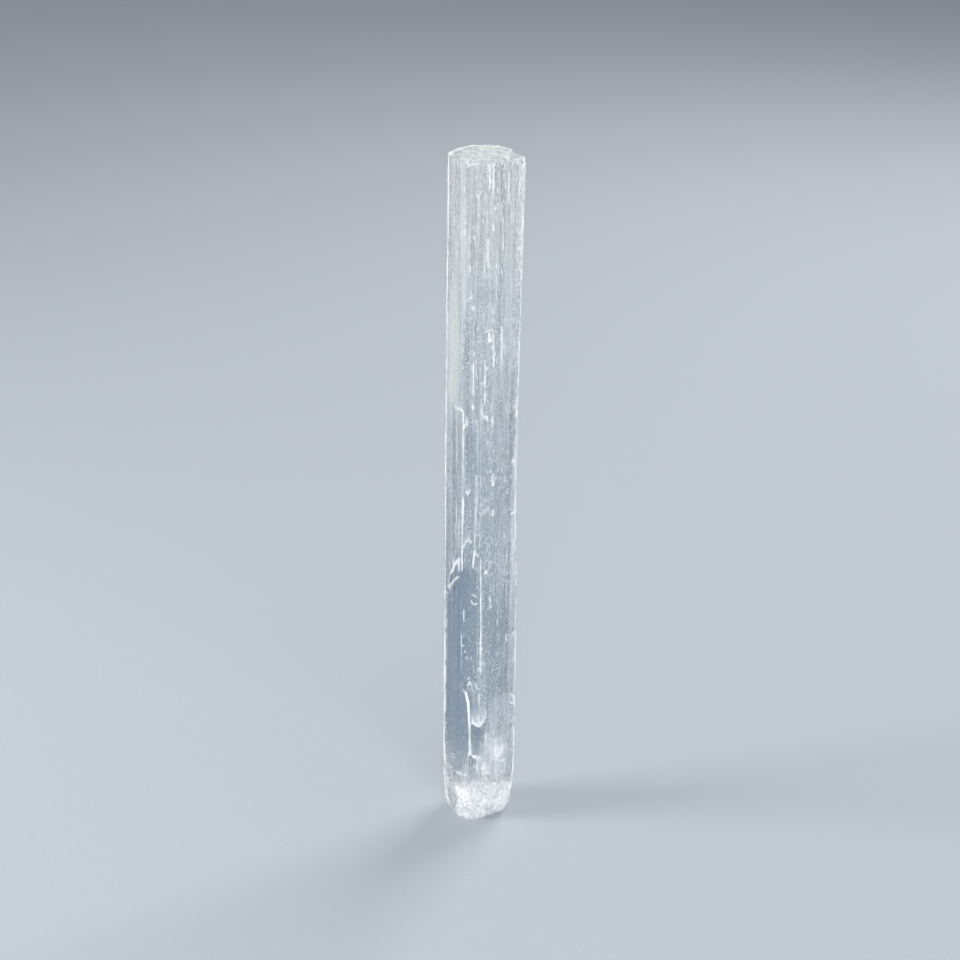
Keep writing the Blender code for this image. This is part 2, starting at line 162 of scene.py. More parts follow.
# White splits along the fibres: angle and height of the lower and upper end, width, whiteness, ridge
SPLITS = in_metres(
    ".m.mm.m",
    (238.8, 81.3, 241.7, 103.3, 0.44, 1, 0.12), (241.7, 103.3, 240.5, 129.2, 0.38, 0.94, 0.12),
    (206.5, 80, 205.5, 127, 0.4, 0.62, 0.04), (223, 85, 222, 128.5, 0.44, 0.84, 0.06),
    (230.5, 86.5, 229.8, 128.5, 0.36, 0.55, 0.05), (240.5, 129.2, 232.9, 130, 0.5, 1, 0.12),
    (232.9, 130, 215.3, 129.6, 0.34, 0.9, 0.1), (239.6, 129.2, 237.1, 198.5, 0.22, 0.45, 0.04),
    (204.8, 131, 198, 197.3, 0.2, 0.3, 0.03), (225.2, 132.1, 215.6, 150.2, 0.26, 0.35, 0.04),
    (222, 150, 218.4, 197.8, 0.18, 0.3, 0.03), (240.9, 124.6, 246.7, 126.8, 0.5, 1, 0.12),
    (253.2, 130.9, 255.6, 130.9, 0.7, 1, 0.08), (254.4, 130.2, 254.4, 131.6, 0.4, 1, 0.08),
    (268.2, 130.8, 269.4, 129, 0.7, 0.88, 0.08), (269.4, 129, 272.4, 128, 1, 0.9, 0.08),
    (272.4, 128, 275.5, 128.4, 0.4, 0.8, 0.06), (275.5, 128.4, 278.2, 127, 0.44, 1, 0.06),
    (254.9, 134.6, 254.4, 143.3, 0.38, 1, 0.06), (273.3, 131.8, 272.3, 144.8, 0.56, 0.8, 0.04),
    (285.6, 142.5, 284.9, 151.7, 0.38, 1, 0.06), (299.5, 143.1, 298.6, 153.7, 0.42, 1, 0.06),
    (278.9, 150.2, 278.8, 152.2, 0.5, 1, 0.04), (269.8, 168.9, 269.1, 179.7, 0.34, 0.92, 0.04),
    (275.1, 170.3, 274.5, 178.6, 0.42, 0.96, 0.04), (280.9, 174.2, 280.7, 177, 0.42, 0.8, 0.04),
    (298, 175.7, 297.6, 179.6, 0.42, 1, 0.04), (304.3, 172.8, 303.6, 179.4, 0.32, 0.7, 0.04),
    (255.5, 194.4, 255.4, 196, 0.34, 1, 0.04), (276.3, 192.5, 274.5, 199, 0.44, 0.96, 0.04),
    (281.8, 190, 281.2, 199, 0.44, 0.96, 0.04), (300.7, 191.5, 299, 199.2, 0.42, 0.8, 0.04),
    (307, 188, 306.2, 196, 0.4, 1, 0.04), (218.9, 118.1, 218.1, 126.1, 0.22, 0.7, 0.04),
    (219.5, 96, 218.9, 118.1, 0.22, 0.45, 0.04), (262.7, 110.5, 261.8, 125.8, 0.3, 0.9, 0.08),
    (259.6, 110.5, 265.1, 110.6, 0.36, 0.9, 0.06), (267.6, 101, 267.2, 119, 0.34, 0.94, 0.07),
    (286.9, 109, 286.8, 110.8, 0.5, 1, 0.06), (286.4, 108.8, 288, 107.9, 0.8, 1, 0.06),
    (257, 82.9, 258.4, 85.9, 0.46, 1, 0.1), (258.4, 85.9, 259.7, 87.8, 0.5, 1, 0.1),
    (259.7, 87.8, 260.9, 110.5, 0.3, 0.94, 0.06), (262.8, 91.5, 262.9, 110.5, 0.26, 0.8, 0.05),
    (261.2, 87, 265.9, 86.1, 0.36, 0.9, 0.06), (253.6, 95.7, 253.3, 100.9, 0.2, 0.9, 0.05),
    (231.5, 96.6, 231, 102.6, 0.2, 0.8, 0.05), (267.3, 89.3, 266.8, 96.4, 0.32, 0.94, 0.07),
    (285.3, 125.8, 285.1, 128.8, 0.44, 0.9, 0.04), (271.4, 99.2, 283.1, 101.1, 0.34, 0.85, 0.06),
    (287, 99, 288.4, 100, 0.8, 0.95, 0.06), (270.5, 97.7, 269.3, 98.6, 0.3, 0.9, 0.05),
    (269.3, 98.6, 272.6, 99, 0.3, 0.85, 0.05), (246, 105.9, 248.1, 104.9, 0.4, 1, 0.08),
    (248.1, 104.9, 251.6, 106.3, 0.5, 1, 0.08), (243.1, 89.2, 247.3, 91, 0.36, 0.95, 0.08),
    (248, 91.1, 253.1, 90, 0.4, 0.95, 0.08), (318, 98, 341, 98.8, 0.46, 1, 0.08),
    (320, 104, 341, 104.7, 0.36, 0.95, 0.08), (201, 79.5, 200.2, 89, 0.26, 0.7, 0.07),
    (218.6, 80.6, 217.7, 95, 0.3, 0.9, 0.1), (232.6, 84.5, 231.2, 98.5, 0.24, 0.7, 0.06),
    (226.3, 83, 233.3, 84.5, 1, 1, 0.18), (213.4, 80.9, 226.3, 83, 1.1, 1, 0.18),
    (207.9, 79, 218.2, 80.6, 0.96, 1, 0.18), (198.5, 77.3, 207.9, 79, 0.7, 1, 0.18),
    (194.8, 73.7, 198.5, 77.3, 0.44, 0.95, 0.1), (220.6, 77.1, 231.5, 78.9, 0.5, 1, 0.18),
    (204.2, 74.7, 220.6, 77.1, 0.54, 1, 0.18), (191.8, 72.6, 204.2, 74.7, 0.5, 1, 0.16),
    (202.7, 60, 201.5, 74.2, 0.4, 0.5, 0.05), (255.8, 74.1, 262.1, 73.5, 0.44, 1, 0.08),
    (254.8, 72, 257.2, 71.3, 0.44, 1, 0.08), (257.2, 71.3, 260.4, 70.9, 0.5, 1, 0.08),
    (260.4, 70.9, 263.6, 71.2, 0.44, 1, 0.08), (276.2, 80.9, 279.4, 81.6, 0.8, 1, 0.1),
    (277, 84.4, 279.7, 84.9, 0.28, 0.85, 0.05), (279.7, 84.9, 284.4, 84.2, 0.3, 0.85, 0.05),
    (283.4, 82.5, 284.4, 84.2, 0.28, 0.8, 0.05), (285.7, 72.2, 283.6, 73.5, 0.36, 0.9, 0.06),
    (284.9, 71.2, 285.7, 72.2, 0.36, 0.9, 0.06), (287, 70.1, 284.9, 71.2, 0.36, 0.9, 0.06),
    (298.9, 68, 298.9, 69.2, 0.44, 0.95, 0.04), (298.1, 65, 298.1, 66.6, 0.44, 0.95, 0.04),
    (315.2, 69.2, 313.7, 87.2, 0.24, 0.7, 0.04), (314.9, 59, 314.8, 60.6, 0.36, 0.95, 0.04),
    (237, 50, 237, 57.4, 0.26, 0.8, 0.05), (271.9, 43.6, 270.9, 65, 0.42, 0.94, 0.12),
    (270.9, 65, 269.4, 84.6, 0.44, 0.95, 0.12), (241.4, 65.5, 241.2, 69, 0.32, 1, 0.06),
    (241.6, 60, 241.4, 65.5, 0.22, 0.7, 0.04), (237.9, 57.2, 236.7, 60.3, 0.36, 1, 0.08),
    (237.9, 57.2, 242.7, 57.4, 0.32, 1, 0.06), (303, 50, 305.2, 50.9, 0.24, 0.9, 0.05),
    (248.1, 42.4, 241, 43.6, 0.5, 1, 0.14), (252.4, 39.3, 248.1, 42.4, 0.8, 1, 0.2),
    (254.1, 33, 252.4, 39.3, 0.7, 1, 0.2), (255.6, 23.2, 254.1, 33, 0.46, 1, 0.12),
    (259.9, 22, 255.6, 23.2, 0.42, 1, 0.1), (269.2, 20.9, 259.9, 22, 0.36, 0.9, 0.06),
    (265.8, 32.1, 258.5, 33, 0.36, 1, 0.06), (265.8, 32.1, 274.2, 32.1, 0.44, 1, 0.06),
    (274.2, 32.1, 277.7, 33.5, 0.46, 1, 0.06), (277.7, 33.5, 282.2, 35, 0.36, 0.95, 0.06),
    (204.6, 19.5, 221.5, 20.4, 0.28, 0.95, 0.06), (205.6, 18.5, 223.6, 19.5, 0.28, 0.9, 0.06),
    (292.5, 20.8, 299.9, 21.6, 0.44, 0.9, 0.08), (299.9, 21.6, 307.5, 22.5, 0.56, 1, 0.1),
    (307.5, 22.5, 315.3, 23.6, 0.5, 0.95, 0.1), (305.8, 19.8, 299.4, 21, 0.44, 0.95, 0.08),
    (305.8, 19.8, 315.7, 19.5, 0.5, 1, 0.1), (290.7, 14, 290, 23.1, 0.44, 0.9, 0.08),
    (269.4, 17.6, 261.9, 18.9, 0.34, 0.9, 0.07), (269.4, 17.6, 279.4, 18, 0.36, 0.9, 0.07),
    (279.4, 18, 289.2, 18.2, 0.36, 0.9, 0.07), (276.2, 16.1, 289.3, 16.1, 0.34, 0.85, 0.06),
    (276.4, 14.4, 289.5, 14.2, 0.34, 0.85, 0.06), (287.2, 23.1, 286.8, 30.4, 0.36, 0.7, 0.06),
    (286.8, 30.4, 286.1, 40.3, 0.26, 0.7, 0.04), (310.7, 27.8, 310.2, 32.8, 0.3, 0.7, 0.04),
    (268.8, 34, 270.6, 44, 0.8, 0.7, 0.05), (231.2, 9.6, 238.6, 7.9, 1, 1, 0.26),
    (238.6, 7.9, 246.6, 6.6, 1.2, 1, 0.26), (246.6, 6.6, 254.5, 5.5, 0.9, 0.95, 0.2),
    (283.5, 6.3, 271.6, 9.7, 0.44, 0.95, 0.1), (283.5, 6.3, 297.5, 5.9, 0.5, 1, 0.12),
    (297.5, 5.9, 308.9, 7, 0.44, 0.95, 0.1), (92, 48, 90.5, 102, 0.4, 0.9, 0.1),
    (121, 105, 119, 162, 0.3, 0.8, 0.08), (47, 112, 46, 171, 0.34, 0.8, 0.08),
    (70.5, 24, 72, 62, 0.3, 0.8, 0.08), (158, 20, 160.5, 56, 0.34, 0.8, 0.08),
    (146, 70, 155, 73, 0.3, 0.9, 0.08), (12, 30, 10, 74, 0.3, 0.8, 0.08),
)
# Chips: angle, height, half width, half height, depth, tilt in degrees, whiteness of the broken rim
CHIPS = in_metres(
    ".mmmm..",
    (245.6, 54.6, 0.5, 1, 0.22, 10, 0.9), (253.7, 46.5, 0.8, 0.9, 0.4, 25, 1),
    (278.6, 151.6, 0.7, 1.6, 0.3, 0, 1), (231.7, 165.3, 0.7, 1, 0.24, 8, 0.9),
    (251.6, 160.8, 0.6, 1.6, 0.26, 4, 0.9), (230.1, 150.7, 0.6, 0.9, 0.22, 0, 0.9),
    (271.6, 58, 0.6, 1.2, 0.26, 0, 1), (271.4, 51.4, 0.7, 1.4, 0.26, 6, 1),
    (327, 128.7, 1, 1.3, 0.4, -24, 1), (322.4, 111, 0.7, 3.4, 0.3, 6, 0.9),
    (321, 99.4, 1.6, 0.9, 0.36, 38, 0.8), (325.4, 76.3, 0.6, 1, 0.26, 0, 0.9),
    (326.4, 61.6, 0.5, 1.6, 0.24, 0, 0.8), (326.9, 39.2, 0.8, 1.5, 0.32, 20, 1),
    (322.6, 32.8, 0.8, 1.2, 0.2, 0, 0.8), (83, 92, 1.5, 2.8, 0.6, 18, 1), (66, 148, 1.1, 2.4, 0.7, -12, 1),
    (112, 118, 0.9, 2, 0.3, 10, 0.9), (150, 48, 1, 1.4, 0.34, -20, 1), (20, 86, 0.9, 2, 0.3, 0, 0.9),
    (170, 122, 0.7, 1.8, 0.28, 8, 0.9),
)
# Soft patches: angle, height, half width (degrees), half height, how milky, how clear. How clear also sets
# the painted dark tint; the first patch, under the flake's lower end, is a painted shadow
PATCHES = in_metres(
    ".m.m..",
    (268.5, 30, 12, 2.2, 0, 0.9), (280, 99.2, 6, 2.6, 0.12, 0), (282, 16.5, 10, 3, 0.55, 0),
    (304, 22.9, 12, 2.6, 0.74, 0), (300, 19.5, 9, 1, 0, 0.7), (226, 108, 15, 24, 0, 0.5),
    (250, 119, 9, 11, 0, 0.5), (268, 112, 16, 13, 0, 0.45), (262, 26, 9, 4, 0, 0.45),
    (300, 20, 34, 12, 0.36, 0), (306, 33, 26, 11, 0.2, 0), (262, 14, 40, 6, 0.3, 0),
    (206, 170, 34, 50, 0.07, 0), (206, 146, 34, 24, 0.2, 0), (318, 176, 26, 40, 0.1, 0),
    (300, 85, 26, 18, 0.14, 0), (66, 70, 42, 30, 0, 0.65), (118, 145, 26, 20, 0, 0.45),
    (204, 7, 30, 9, 0, 0.76), (324.5, 60, 8, 70, 0.26, 0), (150, 40, 16, 12, 0.35, 0),
    (20, 150, 14, 20, 0.3, 0), (92, 110, 9, 5, 0.45, 0),
)
# How clear and how milky the body is all round, by height; the clear share is partly real clearness and
# partly the painted dark tint of a surround seen through
CLEAR_BODY = in_metres(
    "m.",
    (0, 0), (12, 0.05), (20, 0.26), (30, 0.42), (70, 0.46), (90, 0.34), (130, 0.16), (170, 0), (200, 0),
)
MILKY_BODY = in_metres(
    "m.",
    (0, 0.42), (10, 0.36), (13, 0.22), (18, 0.1), (24, 0.03), (30, 0), (100, 0), (150, 0.05), (200, 0.07),
)
# How clear the crystal is where the large sheet is missing from the lower left, by height; there it also
# takes the painted dark tint
CLEAR_LOWER_LEFT = in_metres(
    "m.",
    (0, 0), (12, 0.1), (16.5, 0.55), (23.5, 0.85), (32, 0.97), (81.5, 0.97), (83.5, 0.5), (200, 0.5),
)
# How many white streaks run in the surface, by angle
STREAKY = (
    (0, 0.8), (25, 0.55), (50, 0.9), (75, 0.6), (100, 0.95), (130, 0.6), (160, 0.7), (185, 0.5), (230, 0.5),
    (240, 0.75), (262, 0.9), (274, 1), (325, 1), (342, 0.8), (360, 0.8),
)
# Corners between the facets painted white as a highlight along the edges: direction, half width (degrees) and
# whiteness
RIM_HIGHLIGHT_CORNERS = (
    (180.2, 2.7, 0.95), (237, 1, 0.22), (285, 1, 0.12), (330.9, 1.5, 0.95), (19, 1.4, 0.6), (65, 1.4, 0.6),
    (115.5, 1.4, 0.6),
)
# Edges of sheets that have healed and stay clear: direction, half width (degrees), and the heights between
QUIET_EDGES = in_metres(
    "..mm",
    (211, 4, 85, 128), (261, 3, 91.5, 126.2), (338, 4, 21, 56), (252.7, 3, 83.2, 89.8),
    (186.5, 4.5, 17, 79),
)

# Sawn top: lower slabs, as centre x and y, width, depth, drop at the back and front, and turn (degrees)
TOP_SLABS = in_metres(
    "mmmmmm.",
    (-12.4, 0, 8.6, 26, 0.28, 0.34, 8), (11.65, 0, 10.4, 28, 1.22, 0.52, -6),
    (6, 8.5, 5.6, 8, 0.3, 0.3, -22), (3.7, -10.4, 2.9, 4.4, 0.3, 0.4, 7),
)
# Corners of the rim that are worn down: direction, spread (degrees) and how far
RIM_CORNERS = in_metres("..m", (177.0, 8.0, 0.42), (8.0, 14.0, 0.34))

# Mesh of the sides
FRONT_FROM, FRONT_TO = 186.0, 336.0
FRONT_COLUMNS, BACK_COLUMNS = 180, 156
# Rows: from, to and how many. The first band is the foot's, and its rows stay where they are
ROW_BANDS = in_metres("mm.", (0, 18, 42), (18, 193.5, 150), (193.5, 198, 7), (198, 199.3, 6))
FOOT_ROWS = ROW_BANDS[0][2] + 1
# Rings of the sawn top: how many, and how far apart, from the rim inwards
RING_BANDS = in_metres(".m", (6, 0.16), (24, 0.36))
START_RADIUS = 0.0102  # of the prism that the blade is shaped from
# Areas with more rows, for the slanting ends of sheets: angle, half width (degrees), height, half height
FINE_AREAS = in_metres("..mm", (268, 15, 33.2, 2.2), (229, 33, 83.2, 9.2))
# Rows drawn to a ledge, as distances from it: to a large sheet's, and to a thin one's
STRONG_LEDGE = (-0.00045, -0.00005, 0.00005, 0.00045)
FINE_LEDGE = (-0.00006, 0.00006)
LEAST_ROW_GAP = 0.00003
LEAST_FREE_ROWS = 40
END_CORNERS = 100  # a face with more corners is a whole end of the prism
BODY_NAME = "selenite_crystal"
SMOOTH_ANGLE = 38.0

# The camera: its place, how far it looks down (degrees) and rolls (radians), and its lens in millimetres
CAMERA_PLACE, CAMERA_DOWN, CAMERA_ROLL = (-0.00057, -0.5482, 0.3166), 21.055, math.atan2(8.0, 650.5)
CAMERA_LENS, SENSOR_WIDTH = 77.2125, 36.0


def amount_of(name, description, default, **more):
    return FloatProperty(name=name, description=description, default=default, min=0.0, **more)


def length_of(name, description, default):
    return amount_of(name, description, default, unit="LENGTH", subtype="DISTANCE", precision=5)


def colour_of(name, description, default):
    return FloatVectorProperty(name=name, description=description, default=default, subtype="COLOR",
                               size=3, min=0.0, max=1.0)


class BladeShape(bpy.types.PropertyGroup):
    length: length_of("Length", "Height of the standing blade", LENGTH)
    fibre_depth: length_of("Fibre depth", "How deep the fine fibres lie at most", 0.00010)
    splinters: IntProperty(name="Splinters", description="Number of thin sheets that have split off",
                           default=150, min=0)
    splinter_depth: length_of("Splinter depth", "Depth of the thickest thin sheet", 0.00012)
    foot_crush: length_of("Foot crush", "Relief of the crushed foot", 0.00075)
    top_roughness: length_of("Top roughness", "Height of the steps on the sawn top", 0.00055)
    seed: IntProperty(name="Seed", description="Another number gives another crystal", default=7)


class BladeFinish(bpy.types.PropertyGroup):
    clear_colour: colour_of("Clear crystal", "Tint of the clear fibres", (0.745, 0.77, 0.79))
    # Painted shade: the dark blue that the clear parts take, standing in for a dark surround seen through the
    # crystal
    see_through_shade_colour: colour_of("Deep crystal", "Tint where the crystal is clearest", (0.252, 0.352, 0.460))
    top_colour: colour_of("Top tinge", "Tint under the sawn top and on the upper left", (0.86, 0.87, 0.81))
    # Also the colour of the painted highlights along the facet corners and the top's rim
    milky_colour: colour_of("Milky crystal", "Colour of splits and broken edges", (0.93, 0.935, 0.935))
    warm_colour: colour_of("Warm milk", "Colour of the splits where the tinge is", (0.93, 0.93, 0.87))
    # Painted shade: the colour that darkens the creases and pits of the crushed foot and the sawn top
    crease_shade_colour: colour_of("Creases", "Colour deep in the crushed parts", (0.72, 0.75, 0.76))
    roughness: amount_of("Roughness", "Roughness of the clear sides", 0.22, max=1.0, subtype="FACTOR")
    absorption: colour_of("Absorption colour", "Colour that the body lets through", (0.80, 0.86, 0.89))
    density: amount_of("Absorption density", "Strength of the absorption, per metre", 34.0)


class StageLook(bpy.types.PropertyGroup):
    floor_colour: colour_of("Floor", "Colour of the floor", (0.42, 0.455, 0.50))
    key_power: amount_of("Key light", "Power of the large light behind on the right", 9.0, unit="POWER")
    fill_power: amount_of("Fill light", "Power of the soft light in front", 11.0, unit="POWER")
    room_light: amount_of("Room light", "Strength of the light from all round", 0.50)


def between(value, low, high):
    """The share of the way from low to high, held to 0 to 1. It takes numbers and arrays."""
    return np.clip((value - low) / (high - low), 0.0, 1.0)


def smooth(value, low, high):
    share = between(value, low, high)
    return share * share * (3.0 - 2.0 * share)


def from_table(table, at):
    places, values = zip(*table)
    return np.interp(at, places, values)


def turn_between(angle, centre):
    """Signed turn in degrees from a centre direction to an angle, the short way round."""
    return (angle - centre + 180.0) % 360.0 - 180.0


def arc(angle, centre):
    """Signed width on the surface, in metres, from a centre direction to an angle."""
    return np.radians(turn_between(angle, centre)) * REACH


def bearing(x, y):
    """Direction in degrees, 0 to 360, in which each place lies."""
    return np.degrees(np.arctan2(y, x)) % 360.0


def noise_at(points, *scale):
    """Blender's smooth noise, -1 to 1, at many points. scale is the size of a lump along each axis."""
    return np.array([noise.noise(Vector(point)) for point in points / np.array(scale)])


def chunks_at(points, scale):
    """Broken chunks: each has a level of its own and a tilted face, 0 to 1, and creases round it."""
    levels, creases = [], []
    half = Vector((0.5, 0.5, 0.5))
    for place in points / np.array(scale):
        distances, seeds = noise.voronoi(Vector(place))
        seed = seeds[0]
        tilt = noise.cell_vector(seed * 5.0 + half)
        lean = (tilt - half).dot(Vector(place) - seed)
        levels.append(0.15 + 0.6 * noise.cell(seed * 9.0) + 0.9 * lean)
        creases.append(distances[1] - distances[0])
    return np.clip(levels, 0.0, 1.0), 1.0 - smooth(np.array(creases), 0.02, 0.16)


def section_radius(angle, height):
    """Distance from the axis to the whole blade's surface: a soft maximum over the facets."""
    chamfer = CHAMFER_HIGH + (CHAMFER_LOW - CHAMFER_HIGH) * between(height, CHAMFER_FROM, CHAMFER_TO)
    total = np.zeros(np.broadcast(angle, height).shape)
    for direction, distance in FACETS + ((CHAMFER_DIRECTION, chamfer),):
        facing = np.maximum(np.cos(np.radians(angle - direction)), 1e-9)
        total = total + (facing / distance) ** CORNER_SHARPNESS
    return total ** (-1.0 / CORNER_SHARPNESS)


class Grain:
    """The blade's fibres and split sheets, drawn once from the seed and asked for at any place."""

    def __init__(self, shape):
        self.shape = shape
        dice = np.random.default_rng(shape.seed)
        widths = np.exp(dice.uniform(math.log(0.5), math.log(3.4), 260))
        edges = np.cumsum(widths)
        self.strip_edges = edges[edges < 359.0]
        self.strips = len(self.strip_edges) + 1
        self.sheets = LARGE_SHEETS + [self.splinter(dice) for _ in range(shape.splinters)]
        self.rags = dice.uniform(-1.0, 1.0, (len(self.sheets), self.strips, 2))
        self.runs = [self.fibre_runs(dice) for _ in range(self.strips)]

    def splinter(self, dice):
        left = dice.uniform(0.0, 360.0)
        width = math.exp(dice.uniform(math.log(1.2), math.log(13.0)))
        run = math.exp(dice.uniform(math.log(0.007), math.log(0.075)))
        low = dice.uniform(0.014, 0.190)
        high = min(low + run, 0.1945)
        depth = dice.uniform(0.25, 1.0) * self.shape.splinter_depth
        tilts = dice.uniform(-0.25, 0.25, 2) * width * MM
        thinned = dice.uniform(0.35, 1.0)
        rag = dice.uniform(0.0002, 0.0014)
        return Sheet(left, left + width, low, high, *tilts, depth, depth * thinned, rag)

    def fibre_runs(self, dice):
        """One strip's level by height: the starts of its runs, and their depths."""
        starts = np.concatenate(([0.0], np.sort(dice.uniform(0.0, self.shape.length, dice.integers(3, 9)))))
        return starts, dice.uniform(0.0, self.shape.fibre_depth, len(starts))

    def strip_of(self, angle):
        return np.searchsorted(self.strip_edges, np.asarray(angle) % 360.0)

    def sheet_reach(self, index, angle, height=None):
        """Where a sheet reaches an angle: inside or not, and its lower and upper end there."""
        sheet = self.sheets[index]
        middle, half = (sheet.left + sheet.right) / 2.0, (sheet.right - sheet.left) / 2.0
        turn = turn_between(angle, middle)
        right = np.full(np.shape(turn), half)
        if index == LOWER_LEFT and height is not None:
            right = half + flake_curve(height)
        inside = (turn > -half) & (turn < right)
        share = turn / (2.0 * half)
        rag = self.rags[index, self.strip_of(angle)] * sheet.rag
        low = sheet.low + sheet.low_tilt * share + rag[..., 0]
        high = sheet.high + sheet.high_tilt * share + rag[..., 1]
        if index == UNDER_FLAKE:
            high = high + from_table(FLAKE_END, np.asarray(angle) % 360.0)
        if index == LOWER_LEFT:
            high = from_table(LOWER_LEFT_END, np.asarray(angle) % 360.0) + rag[..., 1]
        return inside, low, high

    def sheet_depth(self, angle, height):
        large, thin = np.zeros(np.shape(height)), np.zeros(np.shape(height))
        for index, sheet in enumerate(self.sheets):
            inside, low, high = self.sheet_reach(index, angle, height)
            inside = inside & (height > low) & (height < high)
            share = between(height, sheet.low, sheet.high)
            depth = inside * (sheet.low_depth + (sheet.high_depth - sheet.low_depth) * share)
            total = large if index < len(LARGE_SHEETS) else thin
            np.maximum(total, depth, out=total)
        return large + thin

    def fibre_depth(self, angle, height):
        strip, depth = self.strip_of(angle), np.zeros(np.shape(height))
        for index, (starts, depths) in enumerate(self.runs):
            here = strip == index
            depth[here] = depths[np.searchsorted(starts, height[here], side="right") - 1]
        return depth

    def ledges_at(self, angle):
        """Heights of the ledges that a column crosses, each with the rows to draw to it."""
        found = []
        for index in range(len(self.sheets)):
            inside, low, high = self.sheet_reach(index, np.array([angle]))
            if inside[0]:
                pattern = STRONG_LEDGE if index < len(LARGE_SHEETS) else FINE_LEDGE
                found += [(float(low[0]), pattern), (float(high[0]), pattern)]
        return found


def slants(split):
    """Whether a split runs across the fibres, and not along them."""
    low_angle, low, high_angle, high = split[:4]
    return abs(arc(high_angle, low_angle)) > 0.25 * abs(high - low)


def split_mask(angle, height, dashed=1.0):
    """How white and how proud the surface is where it lies on a split; dashed breaks the upright ones up."""
    white, proud = np.zeros(len(angle)), np.zeros(len(angle))
    dashed = np.broadcast_to(dashed, angle.shape)
    for split in SPLITS:
        low_angle, low, high_angle, high, width, whiteness, ridge = split
        if high < low:
            low_angle, low, high_angle, high = high_angle, high, low_angle, low
        along = np.array((arc(high_angle, low_angle), high - low))
        near = np.abs(arc(angle, low_angle)) < abs(along[0]) + 3 * width
        near &= (height > low - 3 * width) & (height < high + 3 * width)
        place = np.stack((arc(angle[near], low_angle), height[near] - low), 1)
        share = np.clip(place @ along / (along @ along), 0.0, 1.0)
        distance = np.linalg.norm(place - share[:, None] * along, axis=1)
        weight = 1.0 - smooth(distance, 0.25 * width, 0.75 * width)
        broken = 1.0 if slants(split) or whiteness > 0.94 else 0.35 + 0.65 * dashed[near]
        white[near] = np.maximum(white[near], weight * whiteness * broken)
        proud[near] = np.maximum(proud[near], weight * ridge)
    return white, proud


def chip_mask(angle, height):
    """Depth of the chips, and how white their broken rims are."""
    depth, white = np.zeros(len(angle)), np.zeros(len(angle))
    for index, (centre, level, half_width, half_height, bite, tilt, whiteness) in enumerate(CHIPS):
        near = (np.abs(turn_between(angle, centre)) < 22.0) & (np.abs(height - level) < 0.006)
        across, up = arc(angle[near], centre), height[near] - level
        lean = math.radians(tilt)
        x = (across * math.cos(lean) + up * math.sin(lean)) / half_width
        y = (up * math.cos(lean) - across * math.sin(lean)) / half_height
        round_turn = np.arctan2(y, x)
        wobble = 0.12 * np.sin(3.0 * round_turn + index) + 0.06 * np.sin(7.0 * round_turn + 2.0 * index)
        distance = np.hypot(x, y) * (1.0 + wobble)
        depth[near] = np.maximum(depth[near], bite * np.sqrt(np.clip(1.0 - distance, 0.0, 1.0)))
        ends = 0.52 - 0.48 * np.cos(2.0 * round_turn + 0.8 * math.sin(3.0 * index))
        rim = np.exp(-(((distance - 1.0) / 0.22) ** 2)) * ends
        white[near] = np.maximum(white[near], whiteness * np.clip(rim * 1.5, 0.0, 1.0))
    return depth, white


def flake_curve(height):
    """How many degrees the flake's left edge lies from the straight one."""
    return from_table(FLAKE_EDGE, height) * (height > FLAKE_LOW) * (height < FLAKE_HIGH)


def flake_mask(angle, height):
    """How milky the flake on the lower front is: most at its ragged lower end, less further up. Its lip is a
    white broken edge; the milk on its body is partly its own and partly painted light on the raised flake.
    """
    start = 256.5 + from_table(FLAKE_EDGE, height)
    across = smooth(angle, start, start + 1.5) * (1.0 - smooth(angle, 278.0, 283.5))
    above = height - LARGE_SHEETS[UNDER_FLAKE].high - from_table(FLAKE_END, angle)
    lip = smooth(above, 0.00005, 0.00020) * (1.0 - smooth(above, 0.0004, 0.0011))
    body = smooth(above, 0.0, 0.0002) * (0.52 * (1.0 - between(above, 0.0, 0.0064)) + 0.06)
    return across * np.maximum(0.90 * lip, body) * (height < 0.0560)


def patch_masks(angle, height):
    """How milky and how clear the soft patches make each place."""
    milky, clear = from_table(MILKY_BODY, height), from_table(CLEAR_BODY, height)
    for centre, level, half_turn, half_height, milk, clearness in PATCHES:
        distance = np.hypot(turn_between(angle, centre) / half_turn, (height - level) / half_height)
        weight = 1.0 - smooth(distance, 0.55, 1.15)
        milky = np.maximum(milky, weight * milk)
        clear = np.maximum(clear, weight * clearness)
    return np.maximum(milky, flake_mask(angle, height)), clear


def corner_highlight(angle):
    """How white the corners between the facets are painted: a painted highlight along the edges."""
    white = np.zeros(np.shape(angle))
    for centre, half_width, whiteness in RIM_HIGHLIGHT_CORNERS:
        away = np.abs(turn_between(angle, centre)) / half_width
        white = np.maximum(white, whiteness * (1.0 - smooth(away, 0.6, 1.25)))
    return white


def round_points(angle, height, radius=START_RADIUS):
    turn = np.radians(angle)
    return np.stack((np.cos(turn) * radius, np.sin(turn) * radius, height), 1)


def foot_relief(angle, height):
    """Relief of the crushed foot, 0 proud to 1 deep, and its creases, where painted shade goes: broken chunks
    that lean.
    """
    relief, crease = np.zeros(len(angle)), np.zeros(len(angle))
    low = height < CRUSHED_TO
    place = round_points(angle[low], height[low])
    place[:, 2] += 0.5 * np.radians(turn_between(angle[low], FOOT_LEAN_FROM)) * START_RADIUS
    bent = place + 0.0007 * noise_at(place, 0.0016, 0.0016, 0.0020)[:, None]
    large, large_crease = chunks_at(bent, LARGE_CHUNK)
    small, small_crease = chunks_at(bent + 0.05, SMALL_CHUNK)
    grains = noise_at(place + 0.4, 0.00050, 0.00050, 0.00060)
    relief[low] = np.clip(0.50 * large + 0.32 * small + 0.22 * grains + 0.05, 0.0, 1.0)
    here = smooth(noise_at(place + 0.2, 0.0030, 0.0030, 0.0030), -0.15, 0.35)
    crease[low] = here * np.maximum(0.9 * large_crease, 0.35 * small_crease)
    return relief, crease


